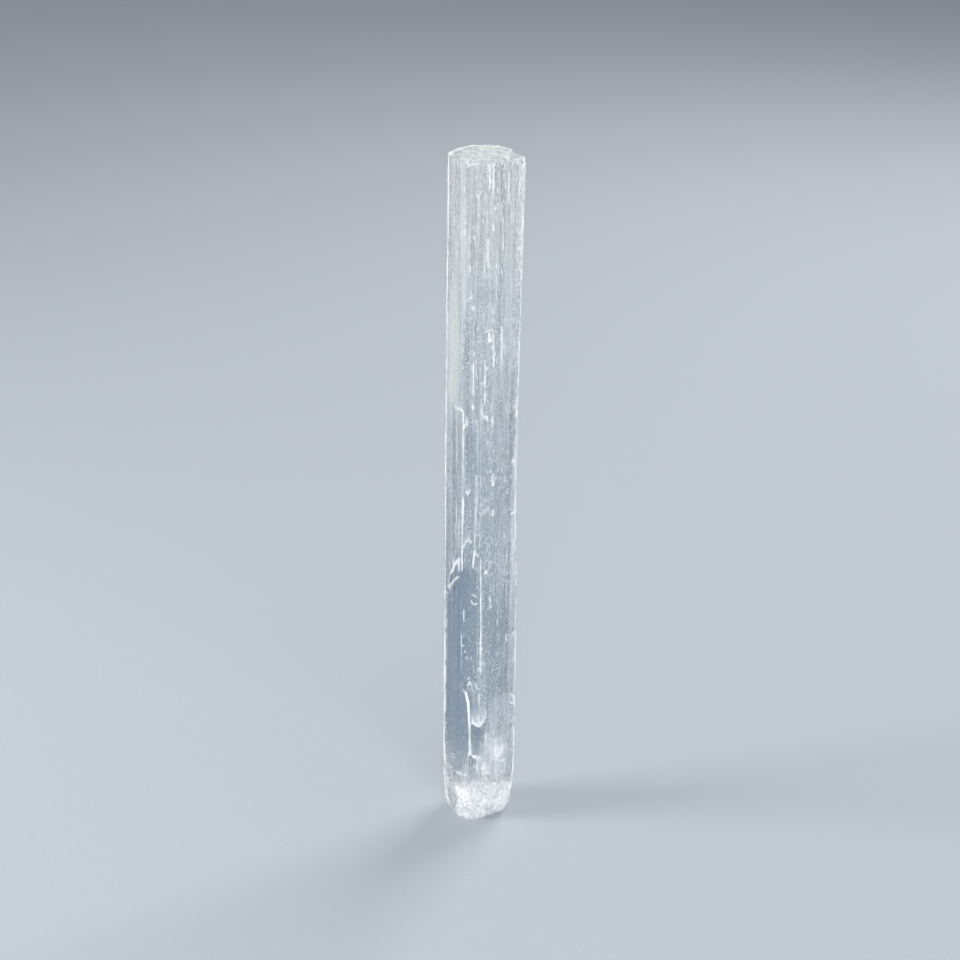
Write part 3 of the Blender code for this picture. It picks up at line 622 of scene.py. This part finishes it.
def crushed_share(angle, height):
    """How crushed the surface is, with a ragged upper boundary."""
    share = np.zeros(len(angle))
    low = height < CRUSHED_TO
    wave = noise_at(round_points(angle[low], height[low]), 0.0032, 0.0032, 0.0050)
    share[low] = from_table(CRUSHED, height[low] + 0.0034 * wave * between(height[low], 0.004, 0.012))
    return share


def side_inset(grain, angle, height):
    """How far in from the whole blade's section the surface lies at each place."""
    inset = from_table(FOOT_BITE, angle) * from_table(FOOT_SHARE, height)
    # The fibres lie calmer under the painted corner highlight, so that it runs as an even line
    calm = 1.0 - 0.8 * corner_highlight(angle)
    inset += grain.sheet_depth(angle, height) + grain.fibre_depth(angle, height) * calm
    beside = 1.0 - smooth(np.abs(turn_between(angle, NARROW_SIDE)), 8.0, 26.0)
    inset += NARROW_DEPTH * beside * smooth(height, NARROW_FROM, NARROW_TO)
    return inset + crushed_share(angle, height) * foot_relief(angle, height)[0] * grain.shape.foot_crush


def rim_wear(angle):
    """How much height and width the top's rim has lost: little behind, more in front, most at two corners."""
    place = round_points(angle, np.zeros(len(angle)), 1.0)
    slow = between(noise_at(place + 0.5, 0.25, 0.25, 1.0), -0.5, 0.5)
    quick = between(noise_at(place, 0.045, 0.045, 1.0), -0.4, 0.6)
    ends = between(noise_at(place + 0.2, 0.030, 0.030, 1.0), -0.35, 0.45)
    front = 1.0 - smooth(np.abs(turn_between(angle, 264.0)), 56.0, 84.0)
    worn = 0.00004 + 0.00016 * slow + 0.00008 * quick + 0.00042 * ends * front
    for centre, spread, depth in RIM_CORNERS:
        worn += depth * np.exp(-((turn_between(angle, centre) / spread) ** 2))
    return worn


def top_level(x, y, shape):
    """Height of the sawn top: torn chips, the lower slabs and a worn rim; and its creases, where painted
    shade goes.
    """
    angle = bearing(x, y)
    from_rim = section_radius(angle, np.full(len(angle), shape.length)) - np.hypot(x, y)
    worn = rim_wear(angle) * (1.0 - smooth(from_rim, -0.0002, 0.0012)) ** 2
    place = np.stack((x, y, np.zeros(len(x))), 1)
    torn = noise_at(place + 0.3, 0.0024, 0.00055, 1.0)
    bent = place + 0.0003 * torn[:, None]
    chips, creases = chunks_at(bent + 0.9, (0.0024, 0.0015, 1.0))
    bits, bit_creases = chunks_at(bent + 0.4, (0.00085, 0.00075, 1.0))
    inner = 0.25 + 0.75 * smooth(from_rim, 0.0, 0.0016)
    relief = (0.50 * chips + 0.34 * bits + 0.14 * between(torn, -0.5, 0.6)) * shape.top_roughness * inner
    level = np.full(len(x), shape.length)
    ragged, edge = 0.00022 * torn, 0.00016
    for centre_x, centre_y, width, depth, back_drop, front_drop, turn in TOP_SLABS:
        lean, across, along = math.radians(turn), x - centre_x, y - centre_y
        u = np.abs(across * math.cos(lean) + along * math.sin(lean)) + ragged - width / 2.0
        v = np.abs(along * math.cos(lean) - across * math.sin(lean)) + ragged - depth / 2.0
        inside = (1.0 - smooth(u, -edge, edge)) * (1.0 - smooth(v, -edge, edge))
        drop = front_drop + (back_drop - front_drop) * smooth(y, -0.006, 0.004)
        level = np.minimum(level, shape.length - drop * inside)
    return level - relief - worn, np.maximum(0.8 * creases, 0.6 * bit_creases * smooth(torn, -0.2, 0.3))


def set_mode(mode):
    bpy.ops.object.mode_set(mode=mode)


def clear_selection(blade, kind):
    """Leaves nothing of the blade's mesh selected, and sets which kind of element is selected next."""
    bpy.context.view_layer.objects.active = blade
    set_mode("EDIT")
    bpy.ops.mesh.select_mode(type=kind)
    bpy.ops.mesh.select_all(action="DESELECT")
    set_mode("OBJECT")


def read(data, name, width=1, kind=float):
    """One property of many elements as an array, with a row for each element where it holds many values."""
    found = np.empty(len(data) * width, kind)
    data.foreach_get(name, found)
    return found.reshape(-1, width) if width > 1 else found


def places_of(mesh):
    return read(mesh.vertices, "co", 3)


def set_places(mesh, places):
    mesh.vertices.foreach_set("co", places.ravel())
    mesh.update()


def store(mesh, name, values):
    layer = mesh.attributes.new(name=name, type="FLOAT", domain="POINT")
    layer.data.foreach_set("value", values.astype(np.float32))


def inner_of(mesh):
    """How far in from the rim each point of the sawn top lies, 0 to 1; it is 0 on the sides."""
    return read(mesh.attributes["inner"].data, "value")


def row_heights():
    rows = [ROW_BANDS[0][0]]
    for low, high, count in ROW_BANDS:
        rows += [low + (high - low) * (index + 1) / count for index in range(count)]
    return np.array(rows)


def column_angles():
    front = FRONT_FROM + (FRONT_TO - FRONT_FROM) * np.arange(FRONT_COLUMNS) / FRONT_COLUMNS
    back = FRONT_TO + (360.0 + FRONT_FROM - FRONT_TO) * np.arange(BACK_COLUMNS) / BACK_COLUMNS
    return np.sort(np.concatenate((front, back)) % 360.0)


def column_heights(rows, ledges):
    """One column's rows, with the nearest ones drawn to each ledge that it crosses."""
    free, drawn = list(rows[FOOT_ROWS:-1]), []
    for ledge, pattern in ledges:
        if not rows[FOOT_ROWS + 1] < ledge < rows[-3]:
            continue
        if len(free) < len(pattern) + LEAST_FREE_ROWS:
            break
        for offset in pattern:
            nearest = min(range(len(free)), key=lambda index: abs(free[index] - ledge - offset))
            free.pop(nearest)
            drawn.append(ledge + offset)
    placed = np.concatenate((rows[:FOOT_ROWS], np.sort(np.array(free + drawn)), rows[-1:]))
    steps = np.maximum(np.diff(placed), LEAST_ROW_GAP)
    placed = np.concatenate(([0.0], np.cumsum(steps)))
    return placed * (rows[-1] / placed[-1])


def cut_rings(blade):
    """Insets the upper end ring by ring to its middle, and stores how far out each of its points lies."""
    clear_selection(blade, "FACE")
    ends = [face for face in blade.data.polygons if len(face.vertices) > END_CORNERS]
    max(ends, key=lambda face: face.center.z).select = True
    set_mode("EDIT")
    for count, width in RING_BANDS:
        for _ in range(count):
            bpy.ops.mesh.inset(thickness=width, depth=0.0, use_even_offset=True)
    bpy.ops.mesh.merge(type="CENTER")
    set_mode("OBJECT")
    places = places_of(blade.data)
    share = np.hypot(places[:, 0], places[:, 1]) / START_RADIUS
    store(blade.data, "inner", np.where(share < 0.9999, 1.0 - share, 0.0))


def add_body_grid(grain):
    """A cylinder cut into rows, its columns and rows drawn to the fibres and ledges."""
    rows, angles, length = row_heights(), column_angles(), grain.shape.length
    bpy.ops.object.select_all(action="DESELECT")
    bpy.ops.mesh.primitive_cylinder_add(vertices=len(angles), radius=START_RADIUS, depth=length,
                                        end_fill_type="NGON", location=(0.0, 0.0, length / 2.0))
    blade = bpy.context.active_object
    blade.name = blade.data.name = BODY_NAME
    bpy.ops.object.transform_apply(location=True, rotation=True, scale=True)
    cut_rings(blade)
    clear_selection(blade, "EDGE")
    ends = places_of(blade.data)[read(blade.data.edges, "vertices", 2, int)]
    upright = np.abs(ends[:, 0, 2] - ends[:, 1, 2]) > length / 2.0
    blade.data.edges.foreach_set("select", upright)
    set_mode("EDIT")
    bpy.ops.mesh.subdivide_edgering(number_cuts=len(rows) - 2, interpolation="LINEAR", smoothness=0.0)
    set_mode("OBJECT")
    places = places_of(blade.data)
    turn = np.degrees(np.arctan2(places[:, 1], places[:, 0]))
    column = np.rint(turn / 360.0 * len(angles)).astype(int) % len(angles)
    row = np.rint(places[:, 2] / length * (len(rows) - 1)).astype(int)
    heights = np.array([column_heights(rows, grain.ledges_at(angle)) for angle in angles])
    out = START_RADIUS * (1.0 - inner_of(blade.data))
    set_places(blade.data, round_points(angles[column], heights[column, row], out))
    return blade


def refine_details(blade):
    """Adds rows to the faces round each chip and each slanting split, so that their rims are sharp."""
    clear_selection(blade, "EDGE")
    mesh = blade.data
    places = places_of(mesh)
    ends = places[read(mesh.edges, "vertices", 2, int)]
    angle, other = (bearing(ends[:, index, 0], ends[:, index, 1]) for index in (0, 1))
    height = ends.mean(1)[:, 2]
    upright = (np.abs(ends[:, 0, 2] - ends[:, 1, 2]) > 0.0003) & (np.abs(turn_between(angle, other)) < 0.05)

    def beside(centre, half_turn, level, half_height):
        return (np.abs(turn_between(angle, centre)) < half_turn) & (np.abs(height - level) < half_height)

    chosen = np.zeros(len(ends), bool)
    for centre, level, half_width, half_height, _, tilt, _ in CHIPS:
        slant = abs(math.sin(math.radians(tilt)))
        reach_up = max(half_height, half_width * slant) * 1.35 + 0.0006
        reach_across = math.degrees(max(half_width, half_height * slant) * 1.5 / REACH)
        chosen |= beside(centre, reach_across, level, reach_up)
    for low_angle, low, high_angle, high, width, _, _ in filter(slants, SPLITS):
        turn = turn_between(high_angle, low_angle)
        share = between(turn_between(angle, low_angle) / turn, 0.0, 1.0)
        chosen |= beside(low_angle + share * turn, 1.0, low + share * (high - low), 1.2 * width + 0.0004)
    for area in FINE_AREAS:
        chosen |= beside(*area)
    mesh.edges.foreach_set("select", chosen & upright)
    set_mode("EDIT")
    bpy.ops.mesh.subdivide(number_cuts=3, smoothness=0.0)
    set_mode("OBJECT")


def shape_sides(blade, grain):
    """Moves the sides and the sawn top to the blade's surface."""
    shape, mesh = grain.shape, blade.data
    places = places_of(mesh)
    angle, height = bearing(places[:, 0], places[:, 1]), places[:, 2].copy()
    inset = side_inset(grain, angle, height) + chip_mask(angle, height)[0] - split_mask(angle, height)[1]
    inset += 0.00003 * noise_at(round_points(angle, height), 0.00035, 0.00035, 0.016)
    inset += rim_wear(angle) * smooth(height, shape.length - 0.0016, height.max())
    reach = section_radius(angle, height) - np.maximum(inset, -0.00002)
    x, y, _ = round_points(angle, height, reach).T.copy()
    start = shape.length - 0.0060
    share = between(height, start, height.max())
    lifted = np.where(height > start, start + (top_level(x, y, shape)[0] - start) * share, height)
    inner = inner_of(mesh)
    cap, rim = inner > 0.0, np.flatnonzero((inner == 0.0) & (height > height.max() - 1e-6))
    rim = rim[np.argsort(angle[rim])]
    column = rim[np.searchsorted(angle[rim] - 0.05, angle[cap]) - 1]
    x[cap], y[cap] = x[column] * (1.0 - inner[cap]), y[column] * (1.0 - inner[cap])
    lifted[cap] = top_level(x[cap], y[cap], shape)[0]
    set_places(mesh, np.stack((x, y, lifted), 1) + AXIS)


def inset_base(blade):
    """Insets the flat base, so that the face it stands on is whole."""
    clear_selection(blade, "FACE")
    for face in blade.data.polygons:
        face.select = len(face.vertices) > END_CORNERS
    set_mode("EDIT")
    bpy.ops.mesh.inset(thickness=0.0006, depth=0.0, use_even_offset=False)
    set_mode("OBJECT")


def hold_in_box(mesh):
    """Keeps the blade inside the solid's box and flat where it stands."""
    set_places(mesh, np.clip(places_of(mesh), np.array(CAD_LOW), np.array(CAD_HIGH)))


def ledge_white(grain, angle, height, dashed):
    """How white the ledges are: the places where the surface steps in or out beside itself."""
    inset = side_inset(grain, angle, height)
    step = np.zeros(len(angle))
    for turn, rise in ((0.85, 0.0), (-0.85, 0.0), (0.0, 0.00022), (0.0, -0.00022)):
        step = np.maximum(step, np.abs(side_inset(grain, angle + turn, height + rise) - inset))
    white = smooth(step, 0.00005, 0.00028) * (0.35 + 0.65 * dashed)
    for centre, half_width, low, high in QUIET_EDGES:
        white[(np.abs(turn_between(angle, centre)) < half_width) & (height > low) & (height < high)] *= 0.2
    return white


def missing_share(angle, height):
    """How far a place lies in the clear part, where the large sheet is missing from the lower left."""
    curve = flake_curve(height)
    across = smooth(angle, 184.0, 189.0) * (1.0 - 0.22 * smooth(angle, 238.0 + curve, 250.0 + curve))
    across *= 1.0 - smooth(angle, 262.0 + 1.4 * curve, 269.5 + 1.4 * curve)
    return across * smooth(from_table(CLEAR_END, angle) - height, -0.0003, 0.0009)


def paint_top(masks, places, angle, inner, dashed, shape):
    """Sets the masks of the sawn top and of the torn fibres just under it, with a painted highlight in the
    milk along the top's rim, strongest at the back.
    """
    height, cap = places[:, 2], inner > 0.0
    mottle = noise_at(places[cap], 0.00070, 0.00045, 0.0004) + noise_at(places[cap], 0.0022, 0.0011, 0.001)
    masks["sawn"][cap] = 0.64 + 0.34 * np.clip(1.6 * mottle, -1.0, 1.0)
    # The rim's milk is partly white broken fibre ends at the front and partly a painted highlight, wider and
    # stronger towards the back, where the light comes from
    behind = smooth(np.abs(turn_between(angle, 266.0)), 62.0, 84.0)
    from_rim = inner * np.hypot(places[:, 0], places[:, 1]) / (1.0 - 0.999 * inner)
    broad = 0.00040 + 0.00080 * behind * np.abs(np.sin(np.radians(angle)))
    edge = (1.0 - smooth(from_rim, 0.5 * broad, broad)) * (0.35 * dashed + (1.0 - 0.35 * dashed) * behind)
    masks["milk"][cap] = edge[cap]
    # Painted shade in the creases of the sawn top
    masks["crease"][cap] = 0.55 * top_level(places[cap, 0], places[cap, 1], shape)[1] * (1.0 - edge[cap])
    high = ~cap & (height > shape.length - 0.0035)
    below = top_level(places[high, 0], places[high, 1], shape)[0] - height[high]
    tips = smooth(noise_at(round_points(angle[high], height[high]), 0.00034, 0.00034, 0.0012), 0.12, 0.40)
    tips *= 0.95 * (1.0 - smooth(below, 0.0014, 0.0028))
    rim = (1.0 - smooth(below, 0.00010, 0.00055)) * (0.15 + 0.85 * behind[high])
    masks["milk"][high] = np.maximum.reduce((masks["milk"][high], tips, rim))


def paint_masks(blade, grain):
    """Writes how milky, clear, streaky, crushed and creased each place is, for the finish to read; the
    creased share is painted shade, the milk holds painted highlights along edges, and the clear share sets a
    painted dark tint.
    """
    mesh, length = blade.data, grain.shape.length
    places = places_of(mesh)
    angle, height = bearing(*(places - AXIS)[:, :2].T), places[:, 2]
    dashed = smooth(noise_at(round_points(angle, height), 0.0009, 0.0009, 0.0060), -0.45, 0.25)
    # corner: the painted highlight along the facet corners, which goes into the milk
    corner = corner_highlight(angle + 0.6 * (dashed - 0.5)) * (0.85 + 0.15 * dashed)
    milk = np.maximum.reduce((
        ledge_white(grain, angle, height, dashed), split_mask(angle, height, dashed)[0], corner,
        chip_mask(angle, height)[1],
    ))
    haze, clear = patch_masks(angle, height)
    missing = missing_share(angle, height) * from_table(CLEAR_LOWER_LEFT, height)
    clear = np.maximum(clear, missing) * (1.0 - 0.6 * milk)
    crushed = crushed_share(angle, height)
    top = 0.45 * smooth(height, length - 0.0016, length - 0.0004)
    facet = smooth(angle, 184.0, 192.0) * (1.0 - smooth(angle, 222.0, 236.0)) * smooth(height, 0.1290, 0.1330)
    facet *= 0.9 * (1.0 - 0.4 * smooth(height, 0.155, 0.185))
    masks = {
        "milk": np.maximum(milk, 1.0 - smooth(height, 0.00025, 0.0009)),
        "clear": clear,
        "sawn": np.maximum(crushed * (1.0 - 0.25 * clear), top),
        "crease": foot_relief(angle, height)[1] * crushed,
        "streaky": from_table(STREAKY, angle) * (1.0 - 0.40 * clear),
        "tinge": np.maximum(0.35 * smooth(height, 0.150, 0.199), facet),
    }
    paint_top(masks, places, angle, inner_of(mesh), dashed, grain.shape)
    masks["haze"] = haze * (1.0 - 0.6 * masks["sawn"])
    for name, values in masks.items():
        store(mesh, name, np.clip(values, 0.0, 1.0))


def wrap_map(blade):
    """A map for the finish: the sides rolled out once round, and the two ends below them."""
    mesh = blade.data
    corners = read(mesh.loops, "vertex_index", kind=int)
    starts, counts = (read(mesh.polygons, name, kind=int) for name in ("loop_start", "loop_total"))
    face = np.repeat(np.arange(len(starts)), counts)
    place = places_of(mesh)[corners]

    def most(values):
        return np.maximum.reduceat(values, starts)[face]

    turn = bearing(place[:, 0], place[:, 1]) / 360.0
    turn = np.where((most(turn) > 0.75) & (turn < 0.25), turn + 1.0, turn)
    band = 0.13
    uv = np.stack((turn * 0.985 + 0.001, band + 0.01 + (0.98 - band) * place[:, 2] / LENGTH), 1)
    ends = place[:, :2] / 0.0225 * band * 0.96 + band / 2.0
    uv = np.where((most(inner_of(mesh)[corners]) > 0.0)[:, None], ends, uv)
    uv = np.where((most(place[:, 2]) < 1e-6)[:, None], ends + (0.20, 0.0), uv)
    mesh.uv_layers.new(name="OFBake").data.foreach_set("uv", uv.astype(np.float32).ravel())


class Finish:
    """A material's nodes. Each call adds one, joins its inputs to sockets or values, and gives an output."""

    def __init__(self, name):
        self.material = bpy.data.materials.new(name)
        self.material.use_nodes = True
        self.tree = self.material.node_tree
        self.shader = self.tree.nodes["Principled BSDF"].inputs
        self.place = self.node("ShaderNodeTexCoord", "Object")

    def join(self, value, socket):
        """Links a socket, or sets a number, a vector or a colour."""
        if isinstance(value, bpy.types.NodeSocket):
            self.tree.links.new(value, socket)
        elif isinstance(value, (int, float)):
            socket.default_value = value
        else:
            socket.default_value = (*value, 1.0)[:len(socket.default_value)]

    def node(self, kind, output, inputs=(), **settings):
        node = self.tree.nodes.new(kind)
        for name, value in settings.items():
            setattr(node, name, value)
        for name, value in dict(inputs).items():
            self.join(value, node.inputs[name])
        return node.outputs[output]

    def stretched(self, squeeze):
        """Places for a pattern that is drawn out along the blade."""
        if squeeze == 1.0:
            return self.place
        return self.node("ShaderNodeMapping", "Vector", {"Vector": self.place, "Scale": (1.0, 1.0, squeeze)})

    def noise(self, squeeze, scale, detail=2.0, roughness=0.5):
        inputs = {"Vector": self.stretched(squeeze), "Scale": scale, "Detail": detail, "Roughness": roughness}
        return self.node("ShaderNodeTexNoise", "Fac", inputs)

    def cells(self, squeeze, scale):
        """A cell pattern: how far each place lies from its cell's middle, and a chance drawn for the cell."""
        inputs = {"Vector": self.stretched(squeeze), "Scale": scale}
        distance = self.node("ShaderNodeTexVoronoi", "Distance", inputs)
        return distance, self.node("ShaderNodeSeparateXYZ", "X", {"Vector": distance.node.outputs["Color"]})

    def marks(self, squeeze, scale, share):
        """Short marks scattered over the surface: a spot in some of the cells, each as bright as it likes."""
        distance, chance = self.cells(squeeze, scale)
        spot = self.ranged(distance, 0.14, 0.34, 1.0, 0.0)
        return self.times(spot, self.ranged(chance, share, share + 0.30))

    def grains(self, noise_scale, cell_scale):
        """Sugary grains: cells that each have a level of their own, broken up by noise."""
        uneven = self.times(self.noise(1.0, noise_scale, 4.0, 0.68), 0.60)
        return self.plus(uneven, self.ranged(self.cells(1.0, cell_scale)[1], 0.0, 1.0, 0.12, 0.30))

    def ranged(self, value, from_low, from_high, to_low=0.0, to_high=1.0):
        names = ("Value", "From Min", "From Max", "To Min", "To Max")
        inputs = zip(names, (value, from_low, from_high, to_low, to_high))
        return self.node("ShaderNodeMapRange", "Result", inputs, interpolation_type="SMOOTHSTEP")

    def maths(self, operation, values, clamp=False):
        def step(first, second):
            inputs = {0: first, 1: second}
            return self.node("ShaderNodeMath", "Value", inputs, operation=operation, use_clamp=clamp)

        return reduce(step, values)

    def times(self, *values):
        return self.maths("MULTIPLY", values)

    def plus(self, *values):
        return self.maths("ADD", values)

    def most(self, *values):
        return self.maths("MAXIMUM", values)

    def mixed(self, share, first, second):
        return self.node("ShaderNodeMix", 2, {"Factor": share, 6: first, 7: second}, data_type="RGBA")

    def mask(self, name):
        return self.node("ShaderNodeAttribute", "Fac", attribute_name=name)

    def bump(self, height, strength, distance):
        inputs = {"Height": height, "Strength": strength, "Distance": distance}
        self.join(self.node("ShaderNodeBump", "Normal", inputs), self.shader["Normal"])


def crystal_finish(look):
    """Clear fibrous crystal that turns milky along splits and white where it is sawn or crushed, with painted
    shade in its creases and pits, painted highlights along its edges and a painted dark tint where it is
    clear.
    """
    finish = Finish("selenite_finish")
    ranged, times, plus, most, mixed = finish.ranged, finish.times, finish.plus, finish.most, finish.mixed
    fibres = finish.noise(0.016, 4600.0, 3.0, 0.62)
    hairs = finish.noise(0.0075, 9200.0)
    bands = finish.noise(0.035, 900.0)
    patches = finish.noise(0.40, 700.0, 2.0, 0.6)
    beads = finish.noise(0.30, 1300.0, 2.0, 0.6)
    clouds = finish.noise(0.30, 260.0)
    grit = finish.grains(1700.0, 1900.0)
    names = ("milk", "haze", "clear", "sawn", "crease", "streaky", "tinge")
    # The milk mask holds painted highlights along the facet corners and the top's back rim, as well as the
    # real milky splits, ledges and chip rims
    milk, haze, clear, sawn, crease, streaky, tinge = (finish.mask(name) for name in names)

    dashes = times(finish.marks(0.17, 2100.0, 0.42), 0.8)
    specks = times(finish.marks(0.36, 2300.0, 0.10), 0.75)
    ticks = finish.marks(1.7, 1500.0, 0.58)
    whole = ranged(sawn, 0.0, 0.8, 1.0, 0.12)
    marks = times(most(dashes, specks, ticks), ranged(clouds, 0.38, 0.56, 0.50, 1.0), whole)
    lines = most(ranged(hairs, 0.55, 0.72, 0.0, 0.30), ranged(fibres, 0.48, 0.74, 0.0, 0.34))
    lines = times(lines, ranged(patches, 0.38, 0.60, 0.25, 1.0), whole)
    streaks = times(most(lines, marks), streaky)
    beaded = most(ranged(beads, 0.36, 0.56, 0.45, 1.0), ranged(milk, 0.88, 0.98))
    haze = times(haze, ranged(fibres, 0.36, 0.62, 0.65, 1.15), ranged(grit, 0.36, 0.62, 0.70, 1.15))
    body = times(ranged(bands, 0.35, 0.68, 0.10, 0.26), ranged(clear, 0.0, 1.0, 1.0, 0.2))
    white = finish.maths("ADD", (plus(body, haze), streaks), clamp=True)
    gaps = times(clear, ranged(grit, 0.40, 0.60, 0.55, 0.10))
    crushed = times(sawn, ranged(grit, 0.36, 0.60, 0.54, 0.95), finish.maths("SUBTRACT", (1.0, gaps)))
    white = finish.maths("MAXIMUM", (most(white, times(milk, beaded)), crushed), clamp=True)

    # The clear parts take the painted dark tint: painted shade that stands in for a dark surround seen
    # through
    tint = mixed(tinge, mixed(clear, look.clear_colour, look.see_through_shade_colour), look.top_colour)
    colour = mixed(white, tint, mixed(tinge, look.milky_colour, look.warm_colour))
    # shade: painted shade in the creases and pits of the crushed and sawn parts
    shade = times(crease, ranged(grit, 0.35, 0.65, 0.5, 1.0))
    shade = most(shade, times(ranged(grit, 0.34, 0.50, 0.28, 0.0), sawn))
    relief = times(plus(fibres, times(hairs, 0.5)), whole)
    relief = plus(relief, plus(times(grit, 3.6, sawn), times(marks, 0.5)))
    finish.bump(relief, 0.45, 0.00010)
    for name, value in (
        ("Base Color", mixed(shade, colour, look.crease_shade_colour)),
        ("Transmission Weight", ranged(white, 0.0, 1.0, 0.90, 0.10)),
        ("Roughness", ranged(white, 0.0, 1.0, look.roughness, 0.60)),
        ("IOR", 1.52),
        ("Sheen Weight", 0.25),
        ("Sheen Roughness", 0.35),
    ):
        finish.join(value, finish.shader[name])
    inputs = {"Color": look.absorption, "Density": look.density}
    volume = finish.node("ShaderNodeVolumeAbsorption", "Volume", inputs)
    finish.join(volume, finish.tree.nodes["Material Output"].inputs["Volume"])
    return finish.material


def stage_finish(colour):
    """Matt paper with a faint tooth."""
    finish = Finish("floor_paper")
    tooth = finish.noise(1.0, 700.0, 3.0, 0.6)
    dark, light = [channel * 0.96 for channel in colour], [min(1.0, channel * 1.04) for channel in colour]
    finish.join(finish.mixed(tooth, dark, light), finish.shader["Base Color"])
    finish.join(0.85, finish.shader["Roughness"])
    finish.join(0.25, finish.shader["Specular IOR Level"])
    finish.bump(tooth, 0.15, 0.0003)
    return finish.material


class SELENITE_OT_add_blade(bpy.types.Operator):
    """Model the standing blade with its splits, flake, chips, sawn top and crushed foot"""

    bl_idname = "selenite.add_blade"
    bl_label = "Add selenite blade"
    bl_options = {"REGISTER", "UNDO"}

    def execute(self, context):
        grain = Grain(context.scene.selenite_shape)
        blade = add_body_grid(grain)
        refine_details(blade)
        shape_sides(blade, grain)
        inset_base(blade)
        hold_in_box(blade.data)
        paint_masks(blade, grain)
        wrap_map(blade)
        blade.data.materials.clear()
        blade.data.materials.append(crystal_finish(context.scene.selenite_finish))
        bpy.ops.object.select_all(action="DESELECT")
        blade.select_set(True)
        context.view_layer.objects.active = blade
        bpy.ops.object.shade_smooth_by_angle(angle=math.radians(SMOOTH_ANGLE))
        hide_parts("selenite_blade")
        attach(blade, "root")
        return {"FINISHED"}


def add_area_light(name, place, aim_height, size, power, colour):
    """A soft rectangular light that looks at the blade's axis at a height."""
    bpy.ops.object.light_add(type="AREA", location=place)
    light = bpy.context.active_object
    light.name = light.data.name = name
    light.data.shape = "RECTANGLE"
    light.data.size, light.data.size_y = size
    light.data.energy = power
    light.data.color = colour
    aim = Vector((0.0, 0.0, aim_height)) - Vector(place)
    light.rotation_euler = aim.to_track_quat("-Z", "Y").to_euler()


class SELENITE_OT_add_stage(bpy.types.Operator):
    """Lay the pale floor and set the soft lights round the blade"""

    bl_idname = "selenite.add_stage"
    bl_label = "Add stage"
    bl_options = {"REGISTER", "UNDO"}

    def execute(self, context):
        look = context.scene.selenite_stage
        bpy.ops.object.select_all(action="DESELECT")
        bpy.ops.mesh.primitive_circle_add(vertices=96, radius=14.0, fill_type="NGON")
        floor = context.active_object
        floor.name = floor.data.name = "floor"
        floor.data.materials.append(stage_finish(look.floor_colour))
        world = bpy.data.worlds.new("room")
        world.use_nodes = True
        background = world.node_tree.nodes["Background"]
        background.inputs["Color"].default_value = (0.90, 0.95, 1.0, 1.0)
        background.inputs["Strength"].default_value = look.room_light
        context.scene.world = world
        warm, cool, power = (1.0, 0.985, 0.95), (0.97, 0.98, 1.0), look.fill_power
        add_area_light("key_light", (0.55, 0.75, 0.95), 0.09, (0.6, 0.6), look.key_power, (1.0, 0.98, 0.95))
        add_area_light("side_light", (-0.80, -0.10, 0.35), 0.10, (0.3, 0.7), power * 0.55, warm)
        add_area_light("fill_light", (0.30, -1.1, 0.40), 0.09, (0.9, 0.6), power, cool)
        return {"FINISHED"}


class SELENITE_OT_add_camera(bpy.types.Operator):
    """Set the camera in front of the blade, a little above it"""

    bl_idname = "selenite.add_camera"
    bl_label = "Add camera"
    bl_options = {"REGISTER", "UNDO"}

    def execute(self, context):
        bpy.ops.object.camera_add()
        camera = context.active_object
        camera.name = camera.data.name = "camera"
        camera.data.sensor_width = SENSOR_WIDTH
        camera.data.lens = CAMERA_LENS
        camera.data.clip_start = 0.01
        camera.data.clip_end = 60.0
        place = Matrix.Translation(CAMERA_PLACE)
        pitch = Matrix.Rotation(math.radians(90.0 - CAMERA_DOWN), 4, "X")
        roll = Matrix.Rotation(CAMERA_ROLL, 4, "Z")
        camera.matrix_world = place @ pitch @ roll
        context.scene.camera = camera
        context.scene.view_settings.view_transform = "Standard"
        return {"FINISHED"}


class SELENITE_PT_panel(bpy.types.Panel):
    """Sizes, finish and stage of the selenite blade"""

    bl_label = "Selenite blade"
    bl_idname = "SELENITE_PT_panel"
    bl_space_type = "VIEW_3D"
    bl_region_type = "UI"
    bl_category = "Selenite"

    def draw(self, context):
        for title, group, operator in (
            ("Shape", context.scene.selenite_shape, "selenite.add_blade"),
            ("Finish", context.scene.selenite_finish, None),
            ("Stage", context.scene.selenite_stage, "selenite.add_stage"),
        ):
            box = self.layout.box()
            box.label(text=title)
            for name in group.__annotations__:
                box.prop(group, name)
            if operator:
                box.operator(operator)
        self.layout.operator("selenite.add_camera")


GROUPS = {"selenite_shape": BladeShape, "selenite_finish": BladeFinish, "selenite_stage": StageLook}
OPERATORS = (SELENITE_OT_add_blade, SELENITE_OT_add_stage, SELENITE_OT_add_camera)
CLASSES = (*GROUPS.values(), *OPERATORS, SELENITE_PT_panel)


def register():
    for made in CLASSES:
        bpy.utils.register_class(made)
    for name, group in GROUPS.items():
        setattr(bpy.types.Scene, name, PointerProperty(type=group))


def unregister():
    for name in GROUPS:
        delattr(bpy.types.Scene, name)
    for made in reversed(CLASSES):
        bpy.utils.unregister_class(made)


def main():
    register()
    bpy.ops.selenite.add_stage()
    bpy.ops.selenite.add_camera()
    bpy.ops.selenite.add_blade()


if __name__ == "__main__":
    main()
